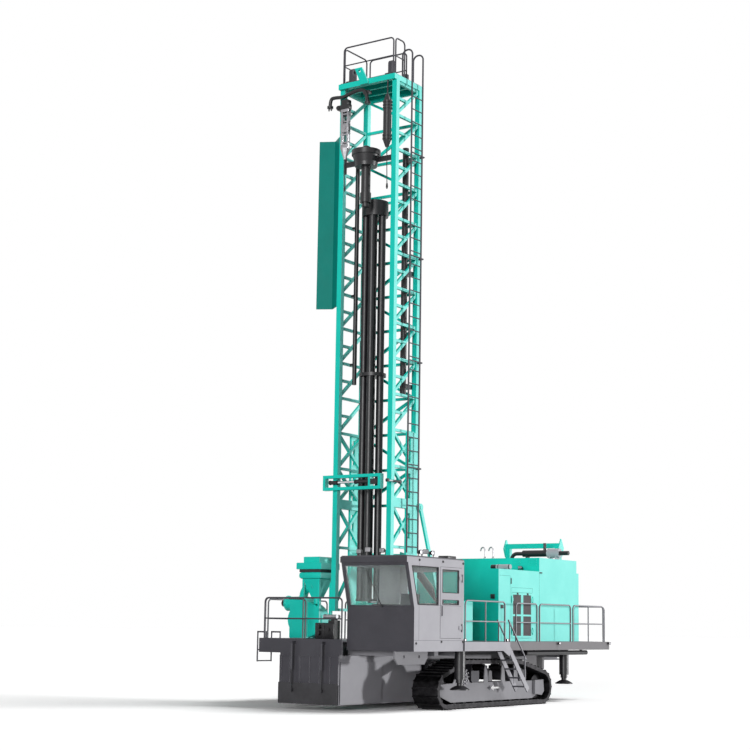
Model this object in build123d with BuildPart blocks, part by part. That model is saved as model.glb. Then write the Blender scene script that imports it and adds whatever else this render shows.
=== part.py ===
from build123d import *
from math import asin, atan2, cos, degrees, hypot, pi, sin
import os

# Tracked rotary blasthole drilling rig with its mast raised.  Millimetres.
# X to the cab side, -Y to the drilling end, Z up, ground at Z = 0.

# clearances
run_gap = 0.4            # pins, rods and slides
seat_gap = 0.3           # roller to chain
door_gap = 8.0           # round a door leaf

# overall
half_width = 2985.0      # wide front deck
rear_half = 2460.0       # narrower rear deck
front_y = -5760.0        # platform fascia
rear_y = 5918.0

# tracks
track_outer = 2440.0
track_width = 760.0
shoe_h = 28.0            # grouser bar
chain_t = 95.0           # shoe plate and chain
shoes = 66
idler_r = 330.0
sprocket_r = 315.0
carrier_r = 95.0
roller_r = 100.0
roller_n = 9
chord_gap = 18.0         # chain bends as a polygon round the wheels
bend_gap = 9.0           # the same at the last carrier roller
front_idler_y = -3220.0
rear_idler_y = 1870.0
sprocket_y, sprocket_z = -2250.0, 800.0
carrier_ys = (-1000.0, -100.0, 600.0)
carrier_z = 1000.0       # rearmost carrier roller

# track frames and axles
beam_y0, beam_y1 = -2760.0, 1500.0
beam_z1 = 640.0
beam_half = 210.0
plate_t = 20.0
guard_t = 70.0
axle_ys = (-1560.0, 960.0)
axle_d, axle_h = 400.0, 300.0
saddle_w = 320.0

# main frame and decks
rail_x = 720.0           # centre of a frame beam
rail_w = 220.0
web_t, flange_t = 30.0, 45.0
frame_z0 = 1130.0
frame_y0, frame_y1 = -5100.0, 5860.0
deck_z = 1700.0          # walking surface
deck_t = 40.0
skirt_z0 = 1470.0
skirt_t = 30.0
guard_x = 1530.0         # plates behind the tracks
wide_y0, wide_y1 = -3790.0, -990.0
plat_x0 = -1600.0
fascia_z0, toe_z = 1364.0, 1720.0
well_x = 560.0           # drilling well
well_y0, well_y1 = -4230.0, -3080.0
cross_h = 130.0
tow_x, tow_t = 2450.0, 40.0          # drilled plate under the cab
tow_y, tow_z, tow_pitch, tow_r = -4880.0, 1330.0, 680.0, 40.0

# mast
mast_x = 936.0           # outside of the legs
mast_y0, mast_y1 = -3620.0, -2345.0
leg = 145.0
foot_z = 2430.0
low_z = 4100.0           # crossed bay under the pivot girder
truss_z = 5250.0         # middle of the pivot girder
crown_z = 16680.0
bays = 12                # from the girder to the crown
cross_bays = 2           # crossed braces in the lowest of them
brace = 72.0
girder_h = 250.0
mast_plate, plate_w = 60.0, 540.0
slot_w = 110.0
pivot_y, pivot_z = -2290.0, 5190.0
pivot_r = 55.0
boss_r = 120.0
crown_front = 100.0      # overhang
crown_h = 150.0
ladder_y0, ladder_y1 = -3040.0, -2505.0
ladder_z0, ladder_z1 = 3960.0, 17700.0
rung_pitch = 360.0
stile_r = 24.0
trough_z0, trough_h = 10620.0, 4760.0
hoist_x, hoist_y = 700.0, -3705.0
hoist_z0, hoist_z1 = 14790.0, 16280.0
hoist_r = 112.0

# rotary head and pipe carousel
string_y = -3668.0       # drill string axis at X = 0
head_z = 14350.0         # underside of the gearbox
head_r = 395.0
head_h = 450.0
shoe_gap = 0.5           # guide shoe to leg
spindle_r, shaft_r = 95.0, 127.0
shaft_z, coupling_z = 13620.0, 13350.0
carousel_x, carousel_y = -200.0, -2905.0
carousel_r = 362.0
carousel_z0, carousel_z1 = 2700.0, 13560.0
drum_h = 420.0
pipe_r = 96.0
pipe_n = 5
pipe_pcd_r = 245.0
journal_r = 45.0
bracket_t = 60.0
journal_gap = 40.0       # carousel end to bracket

# A-frame and raising cylinders
post_x0, post_x1 = 670.0, 780.0
post_d = 170.0
strut_x0, strut_x1 = 950.0, 1010.0
strut_foot_y = -930.0
cyl_x = 560.0
base_y, base_z = 500.0, 1960.0
eye_y, eye_z = -2270.0, 3900.0
tube_y = -2455.0
barrel_r, rod_r = 105.0, 55.0
eye_r, eye_w = 95.0, 110.0
pin_r = 42.0
lug_gap, lug_t = 8.0, 40.0
cross_tube_r = 60.0

# cab
cab_x0, cab_x1 = 985.0, 2950.0
cab_y0, cab_y1 = -5556.0, -3274.0
lean_y = -5850.0         # head of the windscreen
cab_z0, floor_z = 1466.0, 1730.0
sill_z, head_line_z, cab_top_z = 2500.0, 3585.0, 3754.0
roof_lip = 50.0
wall = 60.0
pillar = 95.0
door_y0, door_y1 = -4390.0, -3390.0
door_z0, door_z1 = 1780.0, 3530.0
strip_z = (2610.0, 2720.0)            # low window in the door
hinge_r, knuckle_r, knuckle_h = 10.0, 17.0, 120.0
leaf_proud = 4.0
glass_t = 12.0

# machinery house
house_x = 1600.0
house_y0, house_y1, house_y2 = 800.0, 3150.0, 5480.0
house_z1, house_z2 = 3690.0, 4090.0
skin = 45.0
leaf_y0, leaf_y1 = 1540.0, 2720.0
leaf_z0, leaf_z1 = 1780.0, 3060.0
leaf_t = 40.0
step_x, recess_y = 1010.0, 1450.0     # front wall set back beside a narrow bay
engine_x, engine_y0, engine_y1, engine_z1 = 620.0, 1600.0, 2900.0, 3050.0
drum_x0, drum_x1, drum_r = 900.0, 1295.0, 140.0
exhaust_x0, exhaust_x1, exhaust_r = 40.0, 1590.0, 100.0
exhaust_y, exhaust_z = 5000.0, 4310.0
elbow_x = -370.0
filter_y = 1640.0
bay_y, bay_z = 5615.0, 3720.0         # lower bay behind the rear block
receiver_x, receiver_z, receiver_r = 2340.0, 1390.0, 65.0
rest_y, rest_z = 5700.0, 4500.0
rest_h = 150.0
rest_post = 150.0
rest_tip_z = 4780.0
rest_gap = 8.0           # mast side to guide

# levelling jacks
jack_r, jack_rod_r = 135.0, 98.0
jack_z0 = 760.0
jack_pad_z, jack_pad_r = 500.0, 250.0
jack_stroke = 700.0
front_jack_x, front_jack_y = 2715.0, -3060.0
rear_jack_x, rear_jack_y = 2100.0, 3700.0

# dust collector
fan_x, fan_y, fan_z = -2100.0, -3290.0, 2760.0
elbow_z = 3080.0
filter_x = -1615.0

# dust hood
hood_x = 911.0
hood_z0, hood_z1 = 130.0, 1325.0
hood_seam = 615.0
hood_y1 = -2040.0
panel_y1 = -3930.0
hood_t = 35.0
rib_t = 25.0
flap_t, flap_gap = 30.0, 8.0
lift_x = 460.0
lift_r, lift_rod_r = 38.0, 18.0
lift_z0, lift_z1 = 960.0, 1600.0
lift_eye_z = 470.0

# stairs
stair_x0, stair_x1 = 2530.0, 2910.0
stair_top_z = 1590.0
stair_foot_y, stair_foot_z = 130.0, 430.0
stair_t = 25.0
stair_hinge = 45.0       # hinge axis behind the deck's end
stair_pin_r = 22.0
cheek_gap, cheek_t = 2.0, 18.0
treads = 5

# handrails
rail_h = 1030.0
rail_r, bend_r = 21.0, 110.0
post_pitch = 1250.0

os.makedirs("parts", exist_ok=True)


def box(x0, x1, y0, y1, z0, z1, mode=Mode.ADD):
    with Locations(((x0 + x1) / 2, (y0 + y1) / 2, (z0 + z1) / 2)):
        Box(x1 - x0, y1 - y0, z1 - z0, mode=mode)


def rod(p, q, r, mode=Mode.ADD):
    p, q = Vector(*p), Vector(*q)
    with BuildSketch(Plane(origin=p, z_dir=q - p)) as section:
        Circle(r)
    extrude(section.sketch, amount=(q - p).length, mode=mode)


def bar(p, q, w, d):
    # rectangular section, w along X and d across the bar
    p, q = Vector(*p), Vector(*q)
    with BuildSketch(Plane(origin=p, x_dir=(1, 0, 0), z_dir=q - p)) as section:
        Rectangle(w, d)
    extrude(section.sketch, amount=(q - p).length)


def profile(points, x0, x1, mode=Mode.ADD):
    # outline in Y and Z, extruded along X
    with BuildSketch(Plane.YZ.offset(x0)) as outline:
        Polygon(*points, align=None)
    extrude(outline.sketch, amount=x1 - x0, mode=mode)


def members(rows, w):
    # straight members of a flat truss: rows of end points in the sketch's plane
    for u0, v0, u1, v1 in rows:
        with Locations(((u0 + u1) / 2, (v0 + v1) / 2)):
            Rectangle(hypot(u1 - u0, v1 - v0), w, rotation=degrees(atan2(v1 - v0, u1 - u0)))


def panel(xa, ya, xb, yb, z):
    # handrail panel: one bent tube, middle posts and a knee rail
    length = hypot(xb - xa, yb - ya)
    side = Plane(origin=(xa, ya, z), x_dir=(xb - xa, yb - ya, 0), z_dir=(yb - ya, xa - xb, 0))
    with BuildLine(side) as tube:
        FilletPolyline((0, 0), (0, rail_h), (length, rail_h), (length, 0), radius=bend_r)
    with BuildSketch(Plane(origin=(xa, ya, z))) as section:
        Circle(rail_r)
    sweep(section.sketch, path=tube.line)
    n = max(1, round(length / post_pitch))
    for i in range(1, n):
        x, y = xa + (xb - xa) * i / n, ya + (yb - ya) * i / n
        rod((x, y, z), (x, y, z + rail_h), rail_r - 3)
    rod((xa, ya, z + rail_h / 2), (xb, yb, z + rail_h / 2), rail_r - 4)


def save(part, name):
    part.part.label = name
    export_step(part.part, f"parts/{name}.step")


# belt round the wheels: front idler, drive sprocket, last carrier roller, rear idler
idler_z = shoe_h + chain_t + chord_gap + idler_r
roller_z = shoe_h + chain_t + seat_gap + roller_r
wheels = (  # y, z, radius of the outside of the shoe plates
    (front_idler_y, idler_z, idler_r + chord_gap + chain_t),
    (sprocket_y, sprocket_z, sprocket_r + chord_gap + chain_t),
    (carrier_ys[-1], carrier_z, carrier_r + bend_gap + chain_t),
    (rear_idler_y, idler_z, idler_r + chord_gap + chain_t),
)
tangent = []
for (ya, za, ra), (yb, zb, rb) in zip(wheels, wheels[1:] + wheels[:1]):
    tangent.append(atan2(zb - za, yb - ya) + pi / 2 + asin((rb - ra) / hypot(yb - ya, zb - za)))
path = []  # y, z and outward angle
for i, (y, z, r) in enumerate(wheels):
    a0, a1 = tangent[i - 1], tangent[i]
    while a1 > a0:
        a1 -= 2 * pi
    n = max(1, int(r * (a0 - a1) / 6))
    path += [(y + r * cos(a0 + (a1 - a0) * j / n), z + r * sin(a0 + (a1 - a0) * j / n), a0 + (a1 - a0) * j / n)
             for j in range(n + 1)]
run = [0.0]
for (ya, za, _), (yb, zb, _) in zip(path, path[1:] + path[:1]):
    run.append(run[-1] + hypot(yb - ya, zb - za))


def on_belt(s, out):
    s %= run[-1]
    i = max(j for j in range(len(path)) if run[j] <= s)
    (ya, za, a), (yb, zb, _) = path[i], path[(i + 1) % len(path)]
    t = (s - run[i]) / max(run[i + 1] - run[i], 1e-6)
    return ya + t * (yb - ya) + out * cos(a), za + t * (zb - za) + out * sin(a)


pitch = run[-1] / shoes
shoe_form = ((0.05, 0.0), (0.66, 0.0), (0.70, shoe_h), (0.86, shoe_h), (0.90, 0.0))  # share of pitch, height
outside = [on_belt((i + f) * pitch, h) for i in range(shoes) for f, h in shoe_form]
inside = [on_belt(i * pitch, -chain_t) for i in range(shoes)]
for name, x0 in (("track_right", track_outer - track_width), ("track_left", -track_outer)):
    with BuildPart() as track:
        with BuildSketch(Plane.YZ.offset(x0)):
            Polygon(*outside, align=None)
            Polygon(*inside, align=None, mode=Mode.SUBTRACT)
        extrude(amount=track_width)
    save(track, name)

# upper run falls from the sprocket to the last carrier roller
top_a, top_b = sprocket_z + wheels[1][2], carrier_z + wheels[2][2]
track_x = track_outer - track_width / 2
fall = (top_b - top_a) / (carrier_ys[-1] - sprocket_y)
carriers = [(y, top_a + fall * (y - sprocket_y) - chain_t - carrier_r - bend_gap) for y in carrier_ys[:-1]]
carriers.append((carrier_ys[-1], carrier_z))
lower = [beam_y0 + 260 + i * (beam_y1 - beam_y0 - 420) / (roller_n - 1) for i in range(roller_n)]
axle_half = beam_half - plate_t
gear = (  # y, z, radius, half width, hub radius
    [(front_idler_y, idler_z, idler_r, 130.0, 120.0), (rear_idler_y, idler_z, idler_r, 130.0, 120.0),
     (sprocket_y, sprocket_z, sprocket_r, 80.0, 150.0)]
    + [(y, roller_z, roller_r, 165.0, 45.0) for y in lower]
    + [(y, z, carrier_r, 150.0, 40.0) for y, z in carriers])
with BuildPart() as rollers:
    for side in (1, -1):
        for y, z, r, half, hub in gear:
            for radius, reach in ((r, half), (hub, axle_half)):
                with BuildSketch(Plane.YZ.offset(side * track_x - reach)):
                    with Locations((y, z)):
                        Circle(radius)
                extrude(amount=2 * reach)
save(rollers, "rollers")

# track frames: inverted channel over the rollers with forks, drive bracket and rear guard
beam_z0 = roller_z + roller_r + 20.0
cheek_z0 = roller_z - 60.0
with BuildPart() as track_frames:
    box(track_x - beam_half, track_x + beam_half, beam_y0, beam_y1, beam_z0, beam_z1)
    for x in (track_x - beam_half, track_x + beam_half - plate_t):
        with BuildSketch(Plane.YZ.offset(x)):
            with BuildLine():
                Polyline((beam_y0, beam_z1), (front_idler_y - 60, idler_z + 150), (front_idler_y - 180, idler_z),
                         (front_idler_y - 60, idler_z - 150), (beam_y0, cheek_z0), (beam_y1, cheek_z0),
                         (rear_idler_y + 60, idler_z - 150), (rear_idler_y + 180, idler_z),
                         (rear_idler_y + 60, idler_z + 150), (beam_y1, beam_z1), close=True)
            make_face()
        extrude(amount=plate_t)
        # drive bracket and the carrier roller posts
        with BuildSketch(Plane.YZ.offset(x)):
            Polygon((sprocket_y - 420, beam_z1 - 20), (sprocket_y - 190, sprocket_z + 120),
                    (sprocket_y + 190, sprocket_z + 120), (sprocket_y + 450, beam_z1 - 20), align=None)
            with Locations((sprocket_y, sprocket_z)):
                Circle(230.0)
            for y, z in carriers:
                Polygon((y - 110, beam_z1 - 20), (y - 60, z + 60), (y + 60, z + 60), (y + 110, beam_z1 - 20),
                        align=None)
        extrude(amount=plate_t)
    # pocket round the sprocket
    with BuildSketch(Plane.YZ.offset(track_x - 95)):
        with Locations((sprocket_y, sprocket_z)):
            Circle(sprocket_r + 20)
    extrude(amount=190, mode=Mode.SUBTRACT)
    # final drive cover with its bolt circle
    with BuildSketch(Plane.YZ.offset(track_x + beam_half)):
        with Locations((sprocket_y, sprocket_z)):
            Circle(215.0)
    extrude(amount=60.0)
    with BuildSketch(Plane.YZ.offset(track_x + beam_half + 60.0)):
        with Locations((sprocket_y, sprocket_z)):
            with PolarLocations(150.0, 10):
                Circle(20.0)
    extrude(amount=18.0)
    # guard over the rear idler
    with BuildSketch(Plane.YZ.offset(track_x + beam_half)):
        Polygon((rear_idler_y - 330, idler_z + 180), (rear_idler_y + 150, idler_z + 190),
                (rear_idler_y + 190, idler_z - 120), (rear_idler_y + 60, idler_z - 230),
                (rear_idler_y - 330, idler_z - 190), align=None)
    extrude(amount=guard_t)
    mirror(about=Plane.YZ)
save(track_frames, "track_frames")

# cross axles resting on the track beams, with saddles under the frame
with BuildPart() as axles:
    for y in axle_ys:
        box(-track_x - beam_half, track_x + beam_half, y - axle_d / 2, y + axle_d / 2, beam_z1, beam_z1 + axle_h)
        for x in (-rail_x, rail_x):
            box(x - saddle_w / 2, x + saddle_w / 2, y - axle_d / 2, y + axle_d / 2, beam_z1 + axle_h, frame_z0)
    chamfer(axles.edges().filter_by(Axis.X).group_by(Axis.Z)[0], 60.0)
save(axles, "axles")

# main frame: two I-beams, cross members, cab arms and jack arms
frame_z1 = deck_z - deck_t
with BuildPart() as main_frame:
    for x in (-rail_x, rail_x):
        with BuildSketch(Plane.XZ.offset(-frame_y0)):
            with Locations((x, (frame_z0 + frame_z1) / 2)):
                Rectangle(web_t, frame_z1 - frame_z0)
            for z in (frame_z0 + flange_t / 2, frame_z1 - flange_t / 2):
                with Locations((x, z)):
                    Rectangle(rail_w, flange_t)
        extrude(amount=-(frame_y1 - frame_y0))
    inner = rail_x - web_t / 2
    outer = rail_x + web_t / 2
    for y in (hood_y1 + 160, -300.0, 2300.0, 4700.0, frame_y1 - 60):
        box(-inner, inner, y - 60, y + 60, frame_z0 + flange_t, frame_z1 - flange_t)
    # arms under the cab and the platform
    for y in (cab_y0 + 500, cab_y1 - 420):
        box(outer, tow_x - tow_t, y - 90, y + 90, cab_z0 - cross_h, cab_z0)
        box(plat_x0 + 60, -outer, y - 90, y + 90, frame_z1 - cross_h - 60, frame_z1)
    # drilled plate at the end of the front arm
    with BuildSketch(Plane.YZ.offset(tow_x - tow_t)):
        Polygon((-5620, cab_z0), (-5620, 1290), (-5480, 1140), (-4300, 1140), (-4160, 1290), (-4160, cab_z0),
                align=None)
        with Locations((tow_y - tow_pitch / 2, tow_z), (tow_y + tow_pitch / 2, tow_z)):
            Circle(tow_r, mode=Mode.SUBTRACT)
    extrude(amount=tow_t)
    # jack arms
    for side in (1, -1):
        xa, xb = sorted((side * outer, side * front_jack_x))
        box(xa, xb, front_jack_y - 110, front_jack_y + 110, hood_z1 + 20, frame_z1)
        xa, xb = sorted((side * outer, side * rear_jack_x))
        box(xa, xb, rear_jack_y - 110, rear_jack_y + 110, 1250.0, frame_z1)
        for x, y in ((front_jack_x, front_jack_y), (rear_jack_x, rear_jack_y)):
            with Locations((side * x, y, (jack_z0 + frame_z1) / 2)):
                Cylinder(jack_r + 1.0, frame_z1 - jack_z0 + 2.0, mode=Mode.SUBTRACT)
save(main_frame, "main_frame")

with BuildPart() as deck_front:
    with BuildSketch(Plane.XY.offset(frame_z1)):
        Polygon((-half_width, wide_y0), (cab_x0, wide_y0), (cab_x0, cab_y1), (half_width, cab_y1),
                (half_width, wide_y1), (-half_width, wide_y1), align=None)
        with Locations((0, (well_y0 + well_y1) / 2)):
            Rectangle(2 * well_x, well_y1 - well_y0, mode=Mode.SUBTRACT)
    extrude(amount=deck_t)
    for x in (-half_width, half_width - skirt_t):
        box(x, x + skirt_t, wide_y0 if x < 0 else cab_y1, wide_y1, skirt_z0, frame_z1)
    box(-half_width, plat_x0, wide_y0, wide_y0 + skirt_t, skirt_z0, frame_z1)
    for x0, x1 in ((-half_width, -rear_half), (rear_half, half_width)):
        box(x0, x1, wide_y1 - skirt_t, wide_y1, skirt_z0, frame_z1)
    # gussets under the ends of the skirts
    for x in (-half_width, half_width - skirt_t):
        profile(((wide_y1 - 340, skirt_z0), (wide_y1 - 150, skirt_z0 - 90), (wide_y1, skirt_z0 - 150),
                 (wide_y1, skirt_z0)), x, x + skirt_t)
    # hinge cheeks of the stairs
    for x in (stair_x0 - cheek_gap - cheek_t, stair_x1 + cheek_gap):
        with BuildSketch(Plane.YZ.offset(x)):
            with Locations((wide_y1 + stair_hinge / 2, stair_top_z)):
                Rectangle(stair_hinge, 90)
            with Locations((wide_y1 + stair_hinge, stair_top_z)):
                Circle(45.0)
                Circle(stair_pin_r + run_gap, mode=Mode.SUBTRACT)
        extrude(amount=cheek_t)
save(deck_front, "deck_front")

with BuildPart() as deck_rear:
    box(-rear_half, rear_half, wide_y1, rear_y, frame_z1, deck_z)
    for x in (-rear_half, rear_half - skirt_t):
        box(x, x + skirt_t, wide_y1, rear_y, skirt_z0, frame_z1)
    box(-rear_half, rear_half, rear_y - skirt_t, rear_y, skirt_z0, frame_z1)
    # guard plates behind the tracks
    for x in (-guard_x, guard_x - skirt_t):
        box(x, x + skirt_t, 2480.0, 3560.0, 900.0, frame_z1)
save(deck_rear, "deck_rear")

with BuildPart() as front_platform:
    with BuildSketch(Plane.XY.offset(frame_z1)):
        Polygon((plat_x0, front_y), (cab_x0 - 5, front_y), (cab_x0 - 5, wide_y0), (plat_x0, wide_y0), align=None)
        with Locations((0, (well_y0 + wide_y0) / 2)):
            Rectangle(2 * well_x, wide_y0 - well_y0, mode=Mode.SUBTRACT)
    extrude(amount=deck_t)
    box(plat_x0, cab_x0 - 5, front_y, front_y + skirt_t, fascia_z0, toe_z)
    box(plat_x0, plat_x0 + skirt_t, front_y, wide_y0, fascia_z0, toe_z)
save(front_platform, "front_platform")

# levelling jacks: fixed tubes, and a rod with its pad for each
jacks = (("jack_front_right", front_jack_x, front_jack_y), ("jack_front_left", -front_jack_x, front_jack_y),
         ("jack_rear_right", rear_jack_x, rear_jack_y), ("jack_rear_left", -rear_jack_x, rear_jack_y))
with BuildPart() as jack_tubes:
    for _, x, y in jacks:
        with BuildSketch(Plane.XY.offset(jack_z0)):
            with Locations((x, y)):
                Circle(jack_r)
                Circle(jack_rod_r + run_gap, mode=Mode.SUBTRACT)
        extrude(amount=frame_z1 - jack_z0)
        with BuildSketch(Plane.XY.offset(frame_z1 - 60)):
            with Locations((x, y)):
                Circle(jack_r)
        extrude(amount=60)
save(jack_tubes, "jack_tubes")
for name, x, y in jacks:
    with BuildPart() as jack:
        with BuildSketch(Plane.XZ.offset(-y)):
            with BuildLine():
                Polyline((x, jack_pad_z), (x + jack_pad_r, jack_pad_z), (x + jack_pad_r, jack_pad_z + 25),
                         (x + 130, jack_pad_z + 95), (x + 75, jack_pad_z + 110), (x + 75, jack_pad_z + 165),
                         (x + jack_rod_r, jack_pad_z + 175), (x + jack_rod_r, frame_z1 - 90), (x, frame_z1 - 90),
                         close=True)
            make_face()
        revolve(axis=Axis((x, y, 0), (0, 0, 1)))
    save(jack, name)

# dust hood under the platform, its lifting front flap and lift cylinders
hood_front = front_y + skirt_t
with BuildPart() as dust_hood:
    for side in (1, -1):
        x0 = hood_x - hood_t if side > 0 else -hood_x
        box(x0, x0 + hood_t, hood_front - hood_t, hood_y1, hood_z0, hood_z1)
        # stiffened light panel over the front half
        x1 = hood_x if side > 0 else -hood_x - rib_t
        box(x1, x1 + rib_t, hood_front, panel_y1, hood_z0 + 20, hood_z1 - 160)
    box(-hood_x, hood_x, hood_front - hood_t, hood_front, hood_seam, hood_z1)
    box(-hood_x, hood_x, hood_front - hood_t, hood_front, hood_z1, fascia_z0)
    box(-hood_x, hood_x, hood_y1 - hood_t, hood_y1, hood_z0, frame_z0 - 20)
    for x in (-hood_x + 30, -620.0, -300.0, 0.0, 300.0, 620.0, hood_x - 30):
        box(x - 25, x + 25, hood_front - hood_t - rib_t, hood_front - hood_t, hood_seam + 30, hood_z1 - 40)
    for z in (hood_seam + 15, hood_z1 - 25):
        box(-hood_x, hood_x, hood_front - hood_t - rib_t, hood_front - hood_t, z - 15, z + 15)
    # hangers up to the platform
    for x in (-hood_x, hood_x - hood_t):
        for y in (hood_front, wide_y0 - 500):
            box(x, x + hood_t, y, y + 120, hood_z1, frame_z1)
save(dust_hood, "dust_hood")

flap_y = hood_front - hood_t - rib_t - flap_gap - flap_t
lift_y = flap_y - lift_r - 14.0
with BuildPart() as hood_flap:
    box(-hood_x + 5, hood_x - 5, flap_y, flap_y + flap_t, hood_z0, hood_seam + 30)
    for x in (-lift_x, lift_x):
        box(x - 30, x + 30, lift_y - 25, flap_y, lift_eye_z - 45, lift_eye_z + 30)
        rod((x, lift_y, lift_eye_z), (x, lift_y, lift_z0 + 120), lift_rod_r)
save(hood_flap, "hood_flap")

with BuildPart() as lift_cylinders:
    for x in (-lift_x, lift_x):
        with BuildSketch(Plane.XY.offset(lift_z0)):
            with Locations((x, lift_y)):
                Circle(lift_r)
                Circle(lift_rod_r + run_gap, mode=Mode.SUBTRACT)
        extrude(amount=lift_z1 - lift_z0)
        box(x - 30, x + 30, lift_y - 20, front_y, lift_z1, lift_z1 + 60)
save(lift_cylinders, "lift_cylinders")

# mast: two sides of legs, braces and plating, joined by a zig-zag rear face
leg_x, leg_y0, leg_y1 = mast_x - leg / 2, mast_y0 + leg / 2, mast_y1 - leg / 2
inner_x = mast_x - leg
bay = (crown_z - truss_z) / bays
levels = [truss_z + i * bay for i in range(bays)]
rows = [(leg_y0, z, leg_y1, z) for z in levels[1:] + [crown_z - brace / 2, low_z, foot_z + brace / 2]]
rows += [(leg_y0, low_z, leg_y1, truss_z), (leg_y1, low_z, leg_y0, truss_z), (leg_y0, foot_z + leg, leg_y1, low_z)]
for i, z in enumerate(levels):
    rows.append((leg_y0, z, leg_y1, z + bay))
    if i < cross_bays:
        rows.append((leg_y1, z, leg_y0, z + bay))
    else:
        # short strut to the middle of the diagonal
        rows.append((leg_y0, z + bay / 2, (leg_y0 + leg_y1) / 2, z + bay / 2))
slot_zs = [(low_z + truss_z) / 2] + [z + bay / 2 for z in levels[:cross_bays]]
for name, side in (("mast_right", 1), ("mast_left", -1)):
    x0 = inner_x if side > 0 else -mast_x
    with BuildPart() as mast_side:
        with BuildSketch(Plane.YZ.offset(x0 + (leg - brace) / 2)):
            members(rows, brace)
        extrude(amount=brace)
        # plated lower part of the rear leg, slotted in each bay
        plate_z = levels[cross_bays]
        with BuildSketch(Plane.YZ.offset(mast_x - mast_plate if side > 0 else -mast_x)):
            with Locations((mast_y1 - plate_w / 2, (foot_z + plate_z) / 2)):
                Rectangle(plate_w, plate_z - foot_z)
            with Locations(*[(mast_y1 - plate_w + slot_w, z) for z in slot_zs]):
                Rectangle(slot_w, 6 * slot_w, mode=Mode.SUBTRACT)
        extrude(amount=mast_plate)
        # legs, pivot girder and pivot lug
        with BuildSketch(Plane.YZ.offset(x0)):
            for y in (leg_y0, leg_y1):
                with Locations((y, (foot_z + crown_z) / 2)):
                    Rectangle(leg, crown_z - foot_z)
            with Locations(((leg_y0 + leg_y1) / 2, truss_z)):
                Rectangle(leg_y1 - leg_y0, girder_h)
            Polygon((leg_y1, pivot_z - 225), (pivot_y, pivot_z - boss_r), (pivot_y, pivot_z + boss_r),
                    (leg_y1, pivot_z + 225), align=None)
            with Locations((pivot_y, pivot_z)):
                Circle(boss_r)
                Circle(pivot_r + run_gap, mode=Mode.SUBTRACT)
        extrude(amount=leg)
        box(-mast_x, mast_x, mast_y0, mast_y1, crown_z, crown_z + leg, Mode.SUBTRACT)
    save(mast_side, name)

with BuildPart() as mast_frame:
    rows = [(-leg_x, crown_z - brace / 2, leg_x, crown_z - brace / 2)]
    for i, z in enumerate(levels):
        side = 1 if i % 2 else -1
        rows += [(-leg_x, z, leg_x, z), (side * leg_x, z, -side * leg_x, z + bay)]
    with BuildSketch(Plane.XZ.offset(leg - brace - mast_y1)):
        members(rows, brace)
    extrude(amount=brace)
    box(-inner_x, inner_x, mast_y0, mast_y1, foot_z, crown_z, Mode.INTERSECT)
    # cross tube with the lugs of the raising cylinders
    rod((-inner_x, tube_y, eye_z), (inner_x, tube_y, eye_z), cross_tube_r)
    for side in (-1, 1):
        for x in (side * cyl_x - eye_w / 2 - lug_gap - lug_t, side * cyl_x + eye_w / 2 + lug_gap):
            with BuildSketch(Plane.YZ.offset(x)):
                Polygon((tube_y, eye_z - 110), (eye_y, eye_z - 80), (eye_y + 70, eye_z), (eye_y, eye_z + 80),
                        (tube_y, eye_z + 110), align=None)
                with Locations((eye_y, eye_z)):
                    Circle(pin_r, mode=Mode.SUBTRACT)
            extrude(amount=lug_t)
    # brackets for the carousel's journals, tied across the rear legs
    for z in (carousel_z0 - journal_gap - bracket_t, carousel_z1 + journal_gap):
        with BuildSketch(Plane.XY.offset(z)):
            Polygon((-inner_x, leg_y1 - 260), (carousel_x, carousel_y - 130), (carousel_x + 130, carousel_y),
                    (carousel_x + 130, leg_y1), (-inner_x, leg_y1), align=None)
            with Locations((carousel_x, carousel_y)):
                Circle(journal_r + run_gap, mode=Mode.SUBTRACT)
        extrude(amount=bracket_t)
        box(-inner_x, inner_x, leg_y1 - brace, leg_y1, z, z + bracket_t)
save(mast_frame, "mast_frame")

# crown: ring of channels with cross beams, and the hook lug leaning out in front
crown_y0 = mast_y0 - crown_front
crown_top = crown_z + crown_h
with BuildPart() as mast_crown:
    with BuildSketch(Plane.XY.offset(crown_z)):
        with Locations((0, (crown_y0 + mast_y1) / 2)):
            Rectangle(2 * mast_x, mast_y1 - crown_y0)
            Rectangle(2 * inner_x, mast_y1 - crown_y0 - 2 * leg, mode=Mode.SUBTRACT)
        for y in (-3250.0, -2800.0):
            with Locations((0, y)):
                Rectangle(2 * mast_x, brace)
    extrude(amount=crown_h)
    with BuildSketch(Plane.XZ.offset(-crown_y0)):
        Polygon((-170, crown_z), (85, crown_z), (85, crown_z + 60), (-126, crown_top + 340), (-357, crown_top + 340),
                (-170, crown_z + 60), align=None)
        with Locations((-200, crown_top + 240)):
            Circle(38.0, mode=Mode.SUBTRACT)
    extrude(amount=60.0)
save(mast_crown, "mast_crown")

# crown deck with the sheave pillow blocks and a bollard
with BuildPart() as crown_deck:
    box(-mast_x + 40, mast_x - 40, crown_y0 + 40, mast_y1 - 40, crown_top, crown_top + 30)
    for x in (-610.0, 690.0):
        with BuildSketch(Plane.YZ.offset(x - 55)):
            with Locations((-3500.0, crown_top + 180)):
                Rectangle(220.0, 330.0)
            with Locations((-3500.0, crown_top + 345)):
                Circle(110.0)
                Circle(42.0, mode=Mode.SUBTRACT)
        extrude(amount=110.0)
        box(x - 110, x + 110, -3680.0, -3320.0, crown_top + 30, crown_top + 60)
    with Locations((600.0, -2700.0, crown_top + 165)):
        Cylinder(95.0, 270.0)
save(crown_deck, "crown_deck")

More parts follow.
